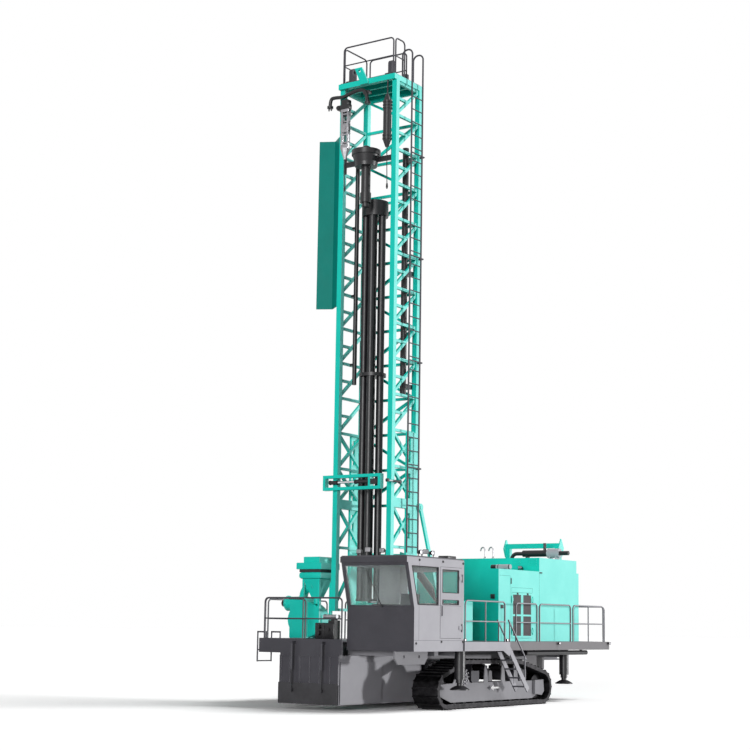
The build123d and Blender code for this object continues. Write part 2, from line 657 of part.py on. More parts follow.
# ladder up the right side of the mast with hooped stiles, and the rails round the crown
ladder_x = mast_x + 115.0
with BuildPart() as mast_ladder:
    for y in (ladder_y0, ladder_y1):
        with BuildLine() as stile:
            FilletPolyline((ladder_x, y, ladder_z0), (ladder_x, y, ladder_z1), (ladder_x - 320, y, ladder_z1),
                           (ladder_x - 320, y, crown_top + 30), radius=150.0)
        with BuildSketch(Plane.XY.offset(ladder_z0)) as section:
            with Locations((ladder_x, y)):
                Circle(stile_r)
        sweep(section.sketch, path=stile.line)
    for i in range(int((crown_top - ladder_z0) / rung_pitch)):
        z = ladder_z0 + 160 + i * rung_pitch
        rod((ladder_x, ladder_y0, z), (ladder_x, ladder_y1, z), stile_r - 8)
    for z in levels[1::3]:
        box(mast_x, ladder_x - 10, leg_y1 - 25, leg_y1 + 25, z - 25, z + 25)
        rod((ladder_x, ladder_y0, z), (ladder_x, leg_y1 + 25, z), stile_r - 5)
    z, low = crown_top + 30, crown_y0 + 90
    panel(-mast_x + 110, low, mast_x - 110, low, z)
    panel(-mast_x + 90, low + 70, -mast_x + 90, mast_y1 - 160, z)
    panel(-mast_x + 160, mast_y1 - 90, mast_x - 480, mast_y1 - 90, z)
    panel(mast_x - 90, low + 70, mast_x - 90, ladder_y0 - 80, z)
save(mast_ladder, "mast_ladder")

# hose trough of bent plate standing out on the left of the mast
with BuildPart() as hose_trough:
    with BuildSketch(Plane.XY.offset(trough_z0)):
        Polygon((-mast_x, mast_y0 + 10), (-mast_x - 390, mast_y0 + 330), (-mast_x - 780, mast_y0 + 130),
                (-mast_x - 780, mast_y0 + 160), (-mast_x - 390, mast_y0 + 365), (-mast_x, mast_y0 + 60), align=None)
    extrude(amount=trough_h)
save(hose_trough, "hose_trough")

# feed cylinder with its brackets on the right, air standpipe on the left
with BuildPart() as feed_cylinder:
    fx, fy = inner_x - 95.0, -2770.0
    rod((fx, fy, 8130), (fx, fy, 14990), 85.0)
    for z in (8400.0, 11500.0, 14600.0):
        box(fx - 60, inner_x + 29, fy - 60, leg_y1 - leg / 2, z - 60, z + 60)
    rod((-690, -3070, 8500), (-690, -3070, 14650), 60.0)
    for z in levels[4:10:2]:
        box(-leg_x + brace / 2, -690, -3100, -3040, z - 30, z + 30)
save(feed_cylinder, "feed_cylinder")

# pipe arm frame across the front of the mast
with BuildPart() as pipe_arm:
    with BuildSketch(Plane.XZ.offset(-mast_y0)):
        with Locations((-235, 5790)):
            Rectangle(1850, 400)
            Rectangle(1690, 240, mode=Mode.SUBTRACT)
        with Locations((330, 5790)):
            Rectangle(60, 250)
    extrude(amount=150.0)
save(pipe_arm, "pipe_arm")

# counterweight hanging from the crown, tapered at both ends
with BuildPart() as hoist_cylinder:
    with BuildSketch(Plane.XZ.offset(-hoist_y)):
        with BuildLine():
            Polyline((hoist_x, hoist_z0), (hoist_x + 45, hoist_z0), (hoist_x + hoist_r, hoist_z0 + 190),
                     (hoist_x + hoist_r, hoist_z1 - 190), (hoist_x + 45, hoist_z1), (hoist_x + 20, hoist_z1),
                     (hoist_x + 20, crown_z), (hoist_x, crown_z), close=True)
        make_face()
    revolve(axis=Axis((hoist_x, hoist_y, 0), (0, 0, 1)))
save(hoist_cylinder, "hoist_cylinder")

# rotary head: cup-shaped gearbox on guide shoes between the front legs
with BuildPart() as rotary_head:
    with BuildSketch(Plane.XZ.offset(-string_y)):
        with BuildLine():
            Polyline((0, head_z), (head_r - 95, head_z), (head_r - 85, head_z + 90), (head_r - 25, head_z + 300),
                     (head_r, head_z + 310), (head_r, head_z + head_h), (130, head_z + head_h),
                     (110, head_z + head_h + 110), (60, head_z + head_h + 140), (0, head_z + head_h + 140),
                     close=True)
        make_face()
    revolve(axis=Axis((0, string_y, 0), (0, 0, 1)))
    reach = inner_x - shoe_gap
    for side in (-1, 1):
        xa, xb = sorted((side * (head_r - 100), side * reach))
        box(xa, xb, leg_y0 - 30, leg_y0 + 30, head_z + 120, head_z + 260)
        xa, xb = sorted((side * (reach - 40), side * reach))
        box(xa, xb, leg_y0 - 35, leg_y0 + 35, head_z - 60, head_z + head_h)
    rod((0, string_y, head_z - 1), (0, string_y, head_z + 300), spindle_r + run_gap, Mode.SUBTRACT)
save(rotary_head, "rotary_head")

with BuildPart() as spindle:
    rod((0, string_y, coupling_z - 120), (0, string_y, head_z + 280), spindle_r)
    rod((0, string_y, shaft_z), (0, string_y, head_z - run_gap), shaft_r)
    rod((0, string_y, coupling_z), (0, string_y, shaft_z), shaft_r + 23)
save(spindle, "spindle")

# pipe carousel
with BuildPart() as carousel:
    with Locations((carousel_x, carousel_y, (carousel_z0 + carousel_z1) / 2)):
        Cylinder(70.0, carousel_z1 - carousel_z0)
        Cylinder(journal_r, carousel_z1 - carousel_z0 + 2 * (journal_gap + bracket_t))
    for z, h in ((carousel_z0, 60.0), (8700.0, 90.0), (carousel_z1 - drum_h, drum_h)):
        with Locations((carousel_x, carousel_y, z + h / 2)):
            Cylinder(carousel_r, h)
    with BuildSketch(Plane.XY.offset(carousel_z0)):
        with Locations((carousel_x, carousel_y)):
            with PolarLocations(pipe_pcd_r, pipe_n):
                Circle(pipe_r)
    extrude(amount=carousel_z1 - carousel_z0)
save(carousel, "carousel")

# A-frame: a post behind each rear leg, a thin strut outside it, the pivot pin, and the cylinders' base lugs
with BuildPart() as a_frame:
    for side in (1, -1):
        x0 = post_x0 if side > 0 else -post_x1
        with BuildSketch(Plane.YZ.offset(x0)):
            with Locations((pivot_y, (deck_z + pivot_z) / 2)):
                Rectangle(post_d, pivot_z - deck_z)
            with Locations((pivot_y, pivot_z)):
                Circle(post_d / 2)
        extrude(amount=post_x1 - post_x0)
        x0 = strut_x0 if side > 0 else -strut_x1
        with BuildSketch(Plane.YZ.offset(x0)):
            with Locations((pivot_y, pivot_z)):
                Circle(boss_r - 20)
            Polygon((pivot_y - 60, pivot_z), (pivot_y + 60, pivot_z), (strut_foot_y + 60, deck_z),
                    (strut_foot_y - 60, deck_z), align=None)
        extrude(amount=strut_x1 - strut_x0)
        xa, xb = sorted((side * post_x0, side * (strut_x1 + 15)))
        rod((xa, pivot_y, pivot_z), (xb, pivot_y, pivot_z), pivot_r)
        xa, xb = sorted((side * (post_x0 - 30), side * (post_x1 + 30)))
        box(xa, xb, pivot_y - 160, pivot_y + 160, deck_z, deck_z + 35)
        xa, xb = sorted((side * (strut_x0 - 60), side * (strut_x1 + 60)))
        box(xa, xb, strut_foot_y - 150, strut_foot_y + 150, deck_z, deck_z + 35)
        for x in (side * cyl_x - eye_w / 2 - lug_gap - lug_t, side * cyl_x + eye_w / 2 + lug_gap):
            with BuildSketch(Plane.YZ.offset(x)):
                Polygon((base_y - 220, deck_z), (base_y - 60, base_z), (base_y + 60, base_z),
                        (base_y + 220, deck_z), align=None)
                with Locations((base_y, base_z)):
                    Circle(80.0)
            extrude(amount=lug_t)
        half = eye_w / 2 + lug_gap + lug_t
        rod((side * cyl_x - half, base_y, base_z), (side * cyl_x + half, base_y, base_z), pin_r)
save(a_frame, "a_frame")

# foot posts that take the mast's lock pins
with BuildPart() as mast_feet:
    for side in (1, -1):
        xa, xb = sorted((side * 760.0, side * 960.0))
        box(xa, xb, leg_y0 - 130, leg_y0 + 130, deck_z, 2190.0)
        xa, xb = sorted((side * 700.0, side * 970.0))
        rod((xa, leg_y0, 2280.0), (xb, leg_y0, 2280.0), 55.0)
        box(side * 860 - 60, side * 860 + 60, leg_y0 - 70, leg_y0 + 70, 2190.0, 2260.0)
save(mast_feet, "mast_feet")

# raising cylinders: barrels on base pins, rods towards the mast lugs
rise = atan2(eye_z - base_z, base_y - eye_y)
u = Vector(0, -cos(rise), sin(rise))
base = Vector(0, base_y, base_z)
length = hypot(base_y - eye_y, eye_z - base_z)
barrel_end = length - 260.0
with BuildPart() as raise_barrels:
    for side in (-1, 1):
        a = base + Vector(side * cyl_x, 0, 0)
        rod(a - Vector(eye_w / 2, 0, 0), a + Vector(eye_w / 2, 0, 0), eye_r)
        bar(a, a + u * 220, eye_w, 120)
        rod(a + u * 200, a + u * barrel_end, barrel_r)
        rod(a - Vector(eye_w, 0, 0), a + Vector(eye_w, 0, 0), pin_r + run_gap, mode=Mode.SUBTRACT)
        rod(a + u * 250, a + u * (barrel_end + 10), rod_r + run_gap, mode=Mode.SUBTRACT)
save(raise_barrels, "raise_barrels")

with BuildPart() as raise_rods:
    for side in (-1, 1):
        a = base + Vector(side * cyl_x, 0, 0)
        rod(a + u * 270, a + u * (length - 60), rod_r)
        e = a + u * length
        rod(e - Vector(eye_w / 2, 0, 0), e + Vector(eye_w / 2, 0, 0), eye_r)
        rod(e - Vector(eye_w, 0, 0), e + Vector(eye_w, 0, 0), pin_r, mode=Mode.SUBTRACT)
save(raise_rods, "raise_rods")

# cab panels: floor, front, sides, rear, roof; windows cut; door hung on the rear post
def lean(z):
    return cab_y0 + (lean_y - cab_y0) * max(0.0, z - sill_z) / (head_line_z - sill_z)


with BuildPart() as cab_floor:
    box(cab_x0, cab_x1, cab_y0, cab_y1, cab_z0, floor_z)
save(cab_floor, "cab_floor")

side_outline = ((cab_y0, floor_z), (cab_y0, sill_z), (lean_y, head_line_z), (cab_y1, head_line_z), (cab_y1, floor_z))
with BuildPart() as cab_left:
    profile(side_outline, cab_x0, cab_x0 + wall)
    profile(((cab_y0 + pillar, sill_z + 60), (lean(head_line_z - 80) + pillar, head_line_z - 80),
             (cab_y1 - pillar - 900, head_line_z - 80), (cab_y1 - pillar - 900, sill_z + 60)),
            cab_x0 - 1, cab_x0 + wall + 1, Mode.SUBTRACT)
save(cab_left, "cab_left")

hinge_x = cab_x1 + knuckle_r
hinge_y = door_y1 + 2 * door_gap
hinge_zs = (door_z0 + 260.0, door_z1 - 260.0)
with BuildPart() as cab_right:
    profile(side_outline, cab_x1 - wall, cab_x1)
    profile(((cab_y0 + pillar + 60, sill_z + 90), (lean(head_line_z - 80) + pillar + 60, head_line_z - 80),
             (door_y0 - pillar, head_line_z - 80), (door_y0 - pillar, sill_z + 90)),
            cab_x1 - wall - 1, cab_x1 + 1, Mode.SUBTRACT)
    box(cab_x1 - wall - 1, cab_x1 + 1, door_y0, door_y1, door_z0, door_z1, Mode.SUBTRACT)
    for z in hinge_zs:
        rod((hinge_x, hinge_y, z - 100), (hinge_x, hinge_y, z + 100), hinge_r)
        for za in (z - 100, z + knuckle_h / 2 + 1):
            box(cab_x1, hinge_x + hinge_r, hinge_y - hinge_r, hinge_y + hinge_r, za, za + 39)
save(cab_right, "cab_right")

with BuildPart() as cab_door:
    y0, y1, z0, z1 = door_y0 + door_gap, door_y1 - door_gap, door_z0 + door_gap, door_z1 - door_gap
    box(cab_x1 - 46, cab_x1 + leaf_proud, y0, y1, z0, z1)
    for za, zb in ((2900.0, z1 - 60), strip_z):
        box(cab_x1 - 60, cab_x1 + 60, y0 + 90, y1 - 130, za, zb, Mode.SUBTRACT)
    for z in hinge_zs:
        with Locations((hinge_x, hinge_y, z)):
            Cylinder(knuckle_r, knuckle_h)
        box(cab_x1 + leaf_proud, hinge_x, y1 - 120, hinge_y, z - 45, z + 45)
        rod((hinge_x, hinge_y, z - knuckle_h), (hinge_x, hinge_y, z + knuckle_h), hinge_r + run_gap, Mode.SUBTRACT)
    # pull handle
    for z in (2330.0, 2540.0):
        box(cab_x1, cab_x1 + 30, y0 + 60, y0 + 90, z, z + 30)
    box(cab_x1 + 10, cab_x1 + 30, y0 + 60, y0 + 90, 2330.0, 2570.0)
save(cab_door, "cab_door")

with BuildPart() as cab_front:
    profile(((cab_y0, floor_z), (cab_y0, sill_z), (lean_y, head_line_z), (lean_y + wall, head_line_z),
             (cab_y0 + wall, sill_z), (cab_y0 + wall, floor_z)), cab_x0 + wall, cab_x1 - wall)
    box(cab_x0 + pillar, cab_x1 - pillar, lean_y - 50, cab_y0 + wall + 50, sill_z + 60, head_line_z - 70,
        Mode.SUBTRACT)
save(cab_front, "cab_front")

with BuildPart() as cab_rear:
    box(cab_x0 + wall, cab_x1 - wall, cab_y1 - wall, cab_y1, floor_z, head_line_z)
    box(cab_x0 + 300, cab_x1 - 700, cab_y1 - wall - 1, cab_y1 + 1, sill_z + 150, head_line_z - 150, Mode.SUBTRACT)
save(cab_rear, "cab_rear")

with BuildPart() as cab_roof:
    box(cab_x0, cab_x1, lean_y - roof_lip, cab_y1, head_line_z, cab_top_z)
    chamfer(cab_roof.edges().group_by(Axis.Z)[-1], 35.0)
save(cab_roof, "cab_roof")

with BuildPart() as cab_glass:
    m = (wall - glass_t) / 2
    low, high = (lean(sill_z + 60) + m, sill_z + 60), (lean(head_line_z - 70) + m, head_line_z - 70)
    profile((low, high, (high[0] + glass_t, high[1]), (low[0] + glass_t, low[1])), cab_x0 + pillar, cab_x1 - pillar)
    profile(((cab_y0 + pillar + 60, sill_z + 90), (lean(head_line_z - 80) + pillar + 60, head_line_z - 80),
             (door_y0 - pillar, head_line_z - 80), (door_y0 - pillar, sill_z + 90)),
            cab_x1 - m - glass_t, cab_x1 - m)
    profile(((cab_y0 + pillar, sill_z + 60), (lean(head_line_z - 80) + pillar, head_line_z - 80),
             (cab_y1 - pillar - 900, head_line_z - 80), (cab_y1 - pillar - 900, sill_z + 60)),
            cab_x0 + m, cab_x0 + m + glass_t)
    box(cab_x0 + 300, cab_x1 - 700, cab_y1 - m - glass_t, cab_y1 - m, sill_z + 150, head_line_z - 150)
save(cab_glass, "cab_glass")

with BuildPart() as door_glass:
    for za, zb in ((2900.0, door_z1 - door_gap - 60), strip_z):
        box(cab_x1 - 34, cab_x1 - 34 + glass_t, door_y0 + door_gap + 90, door_y1 - door_gap - 130, za, zb)
save(door_glass, "door_glass")

# operator seat and console
with BuildPart() as cab_interior:
    sx, sy = 1900.0, -4450.0
    with Locations((sx, sy, floor_z + 170)):
        Cylinder(90.0, 340.0)
    box(sx - 260, sx + 260, sy - 270, sy + 270, floor_z + 340, floor_z + 480)
    bar((sx, sy + 230, floor_z + 480), (sx, sy + 330, floor_z + 1130), 480, 120)
    box(sx - 330, sx - 260, sy - 200, sy + 220, floor_z + 560, floor_z + 620)
    box(sx + 260, sx + 330, sy - 200, sy + 220, floor_z + 560, floor_z + 620)
    for x in (sx - 330, sx + 260):
        box(x, x + 70, sy + 120, sy + 200, floor_z + 400, floor_z + 560)
    profile(((cab_y0 + 160, floor_z), (cab_y0 + 160, floor_z + 700), (cab_y0 + 330, floor_z + 860),
             (cab_y0 + 480, floor_z + 820), (cab_y0 + 420, floor_z)), 1500.0, 2300.0)
save(cab_interior, "cab_interior")

# machinery house: front block with grille doors, taller rear block, engine inside
leaf_mid = (leaf_y0 + leaf_y1) / 2
leaf_hinge_x = house_x + knuckle_r
leaf_hinges = ((leaf_y0 - 2 * door_gap), (leaf_y1 + 2 * door_gap))
leaf_zs = (leaf_z0 + 200.0, leaf_z1 - 200.0)
with BuildPart() as house_front:
    for t, top, mode in ((0.0, house_z1, Mode.ADD), (skin, house_z1 - skin, Mode.SUBTRACT)):
        with BuildSketch(Plane.XY.offset(deck_z)):
            Polygon((step_x + t, house_y0 + t), (house_x - t, house_y0 + t), (house_x - t, house_y1),
                    (-house_x + t, house_y1), (-house_x + t, recess_y + t), (step_x + t, recess_y + t), align=None)
        extrude(amount=top - deck_z, mode=mode)
    box(house_x - skin - 1, house_x + 1, leaf_y0, leaf_y1, leaf_z0, leaf_z1, Mode.SUBTRACT)
    for y in leaf_hinges:
        for z in leaf_zs:
            rod((leaf_hinge_x, y, z - 100), (leaf_hinge_x, y, z + 100), hinge_r)
            for za in (z - 100, z + knuckle_h / 2 + 1):
                box(house_x, leaf_hinge_x + hinge_r, y - hinge_r, y + hinge_r, za, za + 39)
save(house_front, "house_front")

for name, ya, yb, y_hinge in (("grille_door_front", leaf_y0 + door_gap, leaf_mid - door_gap / 2, leaf_hinges[0]),
                              ("grille_door_rear", leaf_mid + door_gap / 2, leaf_y1 - door_gap, leaf_hinges[1])):
    with BuildPart() as leaf:
        z0, z1 = leaf_z0 + door_gap, leaf_z1 - door_gap
        box(house_x - leaf_t, house_x + leaf_proud, ya, yb, z0, z1)
        for za, zb in ((z0 + 60, (z0 + z1) / 2 - 25), ((z0 + z1) / 2 + 25, z1 - 60)):
            box(house_x - leaf_t - 1, house_x + leaf_proud + 1, ya + 60, yb - 60, za, zb, Mode.SUBTRACT)
            n = 9
            for i in range(n):
                z = za + (i + 0.5) * (zb - za) / n
                bar((house_x - leaf_t / 2, ya + 59, z), (house_x - leaf_t / 2, yb - 59, z), leaf_t - 10, 14)
        out = 1 if y_hinge > yb else -1
        for z in leaf_zs:
            with Locations((leaf_hinge_x, y_hinge, z)):
                Cylinder(knuckle_r, knuckle_h)
            pa, pb = sorted((y_hinge, (yb - 60) if out > 0 else (ya + 60)))
            box(house_x + leaf_proud, leaf_hinge_x, pa, pb, z - 45, z + 45)
            rod((leaf_hinge_x, y_hinge, z - knuckle_h), (leaf_hinge_x, y_hinge, z + knuckle_h), hinge_r + run_gap,
                Mode.SUBTRACT)
    save(leaf, name)

with BuildPart() as house_rear:
    box(-house_x, house_x, house_y1, house_y2, deck_z, house_z2)
    box(-house_x + skin, house_x - skin, house_y1 + skin, house_y2 - skin, deck_z - 1, house_z2 - skin, Mode.SUBTRACT)
    box(-house_x, house_x, house_y2, bay_y, deck_z, bay_z)
    box(-house_x + skin, house_x - skin, house_y2 - skin - 1, bay_y - skin, deck_z - 1, bay_z - skin, Mode.SUBTRACT)
save(house_rear, "house_rear")

# cabinet on the deck between the cab and the house
with BuildPart() as deck_cabinet:
    box(750.0, 1200.0, -700.0, 80.0, deck_z, 2770.0)
    chamfer(deck_cabinet.edges().group_by(Axis.Z)[-1], 20.0)
save(deck_cabinet, "deck_cabinet")

with BuildPart() as engine:
    box(-engine_x, engine_x, engine_y0, engine_y1, deck_z, engine_z1)
save(engine, "engine")

with BuildPart() as muffler:
    rod((drum_x0, exhaust_y, exhaust_z), (drum_x1, exhaust_y, exhaust_z), drum_r)
    for x in (drum_x0 + 90, drum_x1 - 90):
        box(x - 25, x + 25, exhaust_y - 110, exhaust_y + 110, house_z2, exhaust_z - 60)
save(muffler, "muffler")

with BuildPart() as exhaust_pipe:
    rod((exhaust_x0, exhaust_y, exhaust_z), (drum_x0, exhaust_y, exhaust_z), exhaust_r)
    rod((drum_x1, exhaust_y, exhaust_z), (exhaust_x1, exhaust_y, exhaust_z), 65.0)
    with BuildLine() as bend:
        FilletPolyline((elbow_x, exhaust_y, house_z2), (elbow_x, exhaust_y, exhaust_z),
                       (exhaust_x0 + 20, exhaust_y, exhaust_z), radius=190.0)
    with BuildSketch(Plane.XY.offset(house_z2)) as section:
        with Locations((elbow_x, exhaust_y)):
            Circle(58.0)
    sweep(section.sketch, path=bend.line)
    box(exhaust_x0 + 120, exhaust_x0 + 180, exhaust_y - 80, exhaust_y + 80, house_z2, exhaust_z - 50)
    rod((drum_x0 - 120, exhaust_y, exhaust_z), (drum_x0 - 120, exhaust_y, exhaust_z + 310), 45.0)
save(exhaust_pipe, "exhaust_pipe")

with BuildPart() as air_cleaner:
    z = house_z1 + 84
    rod((895, filter_y, z), (1050, filter_y, z), 58.0)
    rod((1050, filter_y, z), (1505, filter_y, z), 66.0)
    for x in (1130.0, 1420.0):
        box(x - 20, x + 20, filter_y - 50, filter_y + 50, house_z1, z)
save(air_cleaner, "air_cleaner")

# mast rest: portal behind the house with guides each side of the lowered mast
with BuildPart() as mast_rest:
    gx = mast_x + rest_gap
    for side in (1, -1):
        xa, xb = sorted((side * (gx - rest_post), side * gx))
        box(xa, xb, rest_y - rest_post / 2, rest_y + rest_post / 2, deck_z, rest_z)
        with BuildSketch(Plane.YZ.offset(gx if side > 0 else -gx - 30)):
            Polygon((rest_y - 60, rest_z - 260), (rest_y + 60, rest_z - 260), (rest_y + 170, rest_z),
                    (rest_y + 20, rest_tip_z), (rest_y - 20, rest_tip_z), (rest_y - 170, rest_z), align=None)
        extrude(amount=30)
    box(-gx, gx, rest_y - 75, rest_y + 75, rest_z, rest_z + rest_h)
save(mast_rest, "mast_rest")

# dust collector on the left deck: fan housing, elbow and the round filter body on its legs
with BuildPart() as dust_collector:
    box(fan_x - 320, fan_x + 320, fan_y - 260, fan_y + 260, deck_z, fan_z)
    fillet(dust_collector.edges().filter_by(Axis.Y).group_by(Axis.Z)[-1], 180.0)
    rod((fan_x - 675, fan_y, fan_z - 110), (fan_x - 250, fan_y, fan_z - 110), 128.0)
    rod((fan_x - 676, fan_y, fan_z - 110), (fan_x - 400, fan_y, fan_z - 110), 105.0, Mode.SUBTRACT)
    with BuildLine() as bend:
        FilletPolyline((fan_x, fan_y, fan_z - 60), (fan_x, fan_y, elbow_z), (filter_x - 60, fan_y, elbow_z),
                       radius=240.0)
    with BuildSketch(Plane.XY.offset(fan_z - 60)) as section:
        with Locations((fan_x, fan_y)):
            Circle(112.0)
    sweep(section.sketch, path=bend.line)
    with BuildSketch(Plane.XZ.offset(-fan_y)):
        with BuildLine():
            Polyline((filter_x, 2760), (filter_x + 130, 2760), (filter_x + 330, 3240), (filter_x + 345, 3270),
                     (filter_x + 345, 3440), (filter_x + 290, 3450), (filter_x + 290, 3530), (filter_x + 415, 3540),
                     (filter_x + 415, 3700), (filter_x + 370, 3715), (filter_x + 370, 3860), (filter_x, 3880), close=True)
        make_face()
    revolve(axis=Axis((filter_x, fan_y, 0), (0, 0, 1)))
    for x in (filter_x - 250, filter_x + 250):
        for y in (fan_y - 250, fan_y + 250):
            box(x - 30, x + 30, y - 30, y + 30, deck_z, 3300.0)
save(dust_collector, "dust_collector")

# air receiver below the rear deck
with BuildPart() as rear_tank:
    rod((receiver_x, 1000.0, receiver_z), (receiver_x, 4620.0, receiver_z), receiver_r)
    for y in (1500.0, 2900.0, 4300.0):
        box(receiver_x - 30, receiver_x + 30, y - 30, y + 30, receiver_z, frame_z1)
save(rear_tank, "rear_tank")

# stairs on the cab side, hinged at the end of the wide deck
stair_y = wide_y1 + stair_hinge
slope = atan2(stair_top_z - stair_foot_z, stair_foot_y - stair_y)
with BuildPart() as stairs:
    d = Vector(0, cos(slope), -sin(slope))
    top = Vector(0, stair_y, stair_top_z)
    span = hypot(stair_foot_y - stair_y, stair_top_z - stair_foot_z)
    for x in (stair_x0, stair_x1 - stair_t):
        p = top + Vector(x + stair_t / 2, 0, 0)
        bar(p + d * 55, p + d * span, stair_t, 150)
        bar(p, p + d * 60, stair_t, 80)
        with BuildSketch(Plane.YZ.offset(x)):
            with Locations((stair_y, stair_top_z)):
                Circle(40.0)
        extrude(amount=stair_t)
        p -= Vector(10 if x > stair_x0 else -10, 0, 0)
        q = p + Vector(0, 0, 720)
        rod(q + d * 60, q + d * (span - 120), rail_r)
        for t in (160.0, span - 220):
            rod(p + d * t, q + d * t, rail_r - 3)
    for i in range(treads):
        c = top + d * (span * (i + 0.6) / treads)
        box(stair_x0, stair_x1, c.Y - 120, c.Y + 120, c.Z - 18, c.Z + 18)
    reach = cheek_gap + cheek_t
    rod((stair_x0 - reach, stair_y, stair_top_z), (stair_x1 + reach, stair_y, stair_top_z), stair_pin_r)
save(stairs, "stairs")

# handrails round the decks, in separate panels
edge, corner = 60.0, 75.0
with BuildPart() as handrails:
    panel(cab_x0 - 60, front_y + edge, plat_x0 + edge + corner, front_y + edge, deck_z)
    panel(plat_x0 + edge, front_y + edge + corner, plat_x0 + edge, wide_y0 - 120, deck_z)
    panel(-half_width + edge, wide_y0 + 60, -half_width + edge, wide_y1 - 60, deck_z)
    panel(half_width - 40, cab_y1 + 80, half_width - 40, wide_y1 - 200, deck_z)
    right = (360.0, 1700.0, 3700.0, rear_y - edge - corner)
    for ya, yb in zip(right, right[1:]):
        panel(rear_half - edge, ya, rear_half - edge, yb - 2 * corner, deck_z)
    panel(rear_half - edge - corner, rear_y - edge, -rear_half + edge + corner, rear_y - edge, deck_z)
    left = (wide_y1 + 100, 1200.0, 3500.0, rear_y - edge - corner)
    for ya, yb in zip(left, left[1:]):
        panel(-rear_half + edge, ya, -rear_half + edge, yb - 2 * corner, deck_z)
    # short access ladder at the left end of the platform
    lx = plat_x0 - 150.0
    for y in (front_y + 130, front_y + 700):
        rod((lx, y, 1120.0), (lx, y, 1890.0), 20.0)
        rod((lx, y, 1870.0), (plat_x0 + 130, y, 1870.0), 20.0)
        rod((plat_x0 + 130, y, deck_z), (plat_x0 + 130, y, 1890.0), 20.0)
        rod((lx, y, 1420.0), (plat_x0, y, 1420.0), 16.0)
    for z in (1140.0, 1420.0):
        rod((lx, front_y + 130, z), (lx, front_y + 700, z), 16.0)
save(handrails, "handrails")
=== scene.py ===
import math

import bmesh
import bpy
from mathutils import Matrix, Vector


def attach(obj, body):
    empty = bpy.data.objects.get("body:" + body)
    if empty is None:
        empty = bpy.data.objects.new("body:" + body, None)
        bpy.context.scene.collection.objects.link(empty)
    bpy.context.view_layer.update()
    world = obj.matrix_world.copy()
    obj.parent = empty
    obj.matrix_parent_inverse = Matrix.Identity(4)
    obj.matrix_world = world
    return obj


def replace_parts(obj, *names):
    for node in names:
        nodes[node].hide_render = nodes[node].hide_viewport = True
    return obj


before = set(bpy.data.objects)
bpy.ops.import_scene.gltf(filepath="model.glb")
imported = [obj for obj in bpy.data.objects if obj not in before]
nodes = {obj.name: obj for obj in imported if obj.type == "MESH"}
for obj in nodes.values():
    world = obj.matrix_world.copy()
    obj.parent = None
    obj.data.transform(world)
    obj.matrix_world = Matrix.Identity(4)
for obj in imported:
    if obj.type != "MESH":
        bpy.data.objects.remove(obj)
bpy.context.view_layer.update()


def linear(code):
    # sRGB hex to linear light
    values = [int(code[i:i + 2], 16) / 255 for i in (1, 3, 5)]
    return [v / 12.92 if v <= 0.04045 else ((v + 0.055) / 1.055) ** 2.4 for v in values] + [1.0]


def addNode(tree, kind, inputs, **settings):
    node = tree.nodes.new(kind)
    for key, value in settings.items():
        setattr(node, key, value)
    for key, value in inputs.items():
        if isinstance(value, bpy.types.NodeSocket):
            tree.links.new(value, node.inputs[key])
        else:
            node.inputs[key].default_value = value
    return node


def startMaterial(name):
    material = bpy.data.materials.new(name)
    material.use_nodes = True
    tree = material.node_tree
    shader = tree.nodes["Principled BSDF"]
    place = tree.nodes.new("ShaderNodeTexCoord").outputs["Object"]
    return material, tree, shader, place


def mottled(tree, place, dark, light, size):
    # two close colours mixed by noise whose patches are size metres wide
    noise = addNode(tree, "ShaderNodeTexNoise",
                    {"Vector": place, "Scale": 1 / size, "Detail": 5.0, "Roughness": 0.6})
    ramp = addNode(tree, "ShaderNodeMapRange",
                   {"Value": noise.outputs["Fac"], "From Min": 0.35, "From Max": 0.65})
    mix = addNode(tree, "ShaderNodeMix",
                  {"Factor": ramp.outputs["Result"], "A": linear(dark), "B": linear(light)}, data_type="RGBA")
    return mix.outputs["Result"]


def roughened(tree, place, shader, low, high, size):
    noise = addNode(tree, "ShaderNodeTexNoise", {"Vector": place, "Scale": 1 / size, "Detail": 4.0})
    spread = addNode(tree, "ShaderNodeMapRange",
                     {"Value": noise.outputs["Fac"], "To Min": low, "To Max": high})
    tree.links.new(spread.outputs["Result"], shader.inputs["Roughness"])


def bumped(tree, place, shader, size, height):
    noise = addNode(tree, "ShaderNodeTexNoise", {"Vector": place, "Scale": 1 / size, "Detail": 3.0})
    bump = addNode(tree, "ShaderNodeBump",
                   {"Height": noise.outputs["Fac"], "Strength": 0.25, "Distance": height})
    tree.links.new(bump.outputs["Normal"], shader.inputs["Normal"])


enamel = {"patch": 0.9, "glossPatch": 0.25, "peel": 0.02, "peelDepth": 0.0008,
          "sideLightFrom": 0.70, "sideLightFull": 0.80}


def paintedSideLight(tree, place, colour, sides):
    # painted side light: a paler second tone on faces that look left or right, standing in for the bright
    # light on the machine's sides
    # it follows the piece's own normal, so a door keeps it as it swings
    split = addNode(tree, "ShaderNodeSeparateXYZ", {"Vector": place.node.outputs["Normal"]})
    size = addNode(tree, "ShaderNodeMath", {0: split.outputs["X"]}, operation="ABSOLUTE")
    edge = addNode(tree, "ShaderNodeMapRange", {"Value": size.outputs[0], "From Min": enamel["sideLightFrom"],
                                                "From Max": enamel["sideLightFull"]})
    paintedSideTone = mottled(tree, place, *sides, enamel["patch"])
    mix = addNode(tree, "ShaderNodeMix", {"Factor": edge.outputs["Result"], "A": colour, "B": paintedSideTone},
                  data_type="RGBA")
    return mix.outputs["Result"]


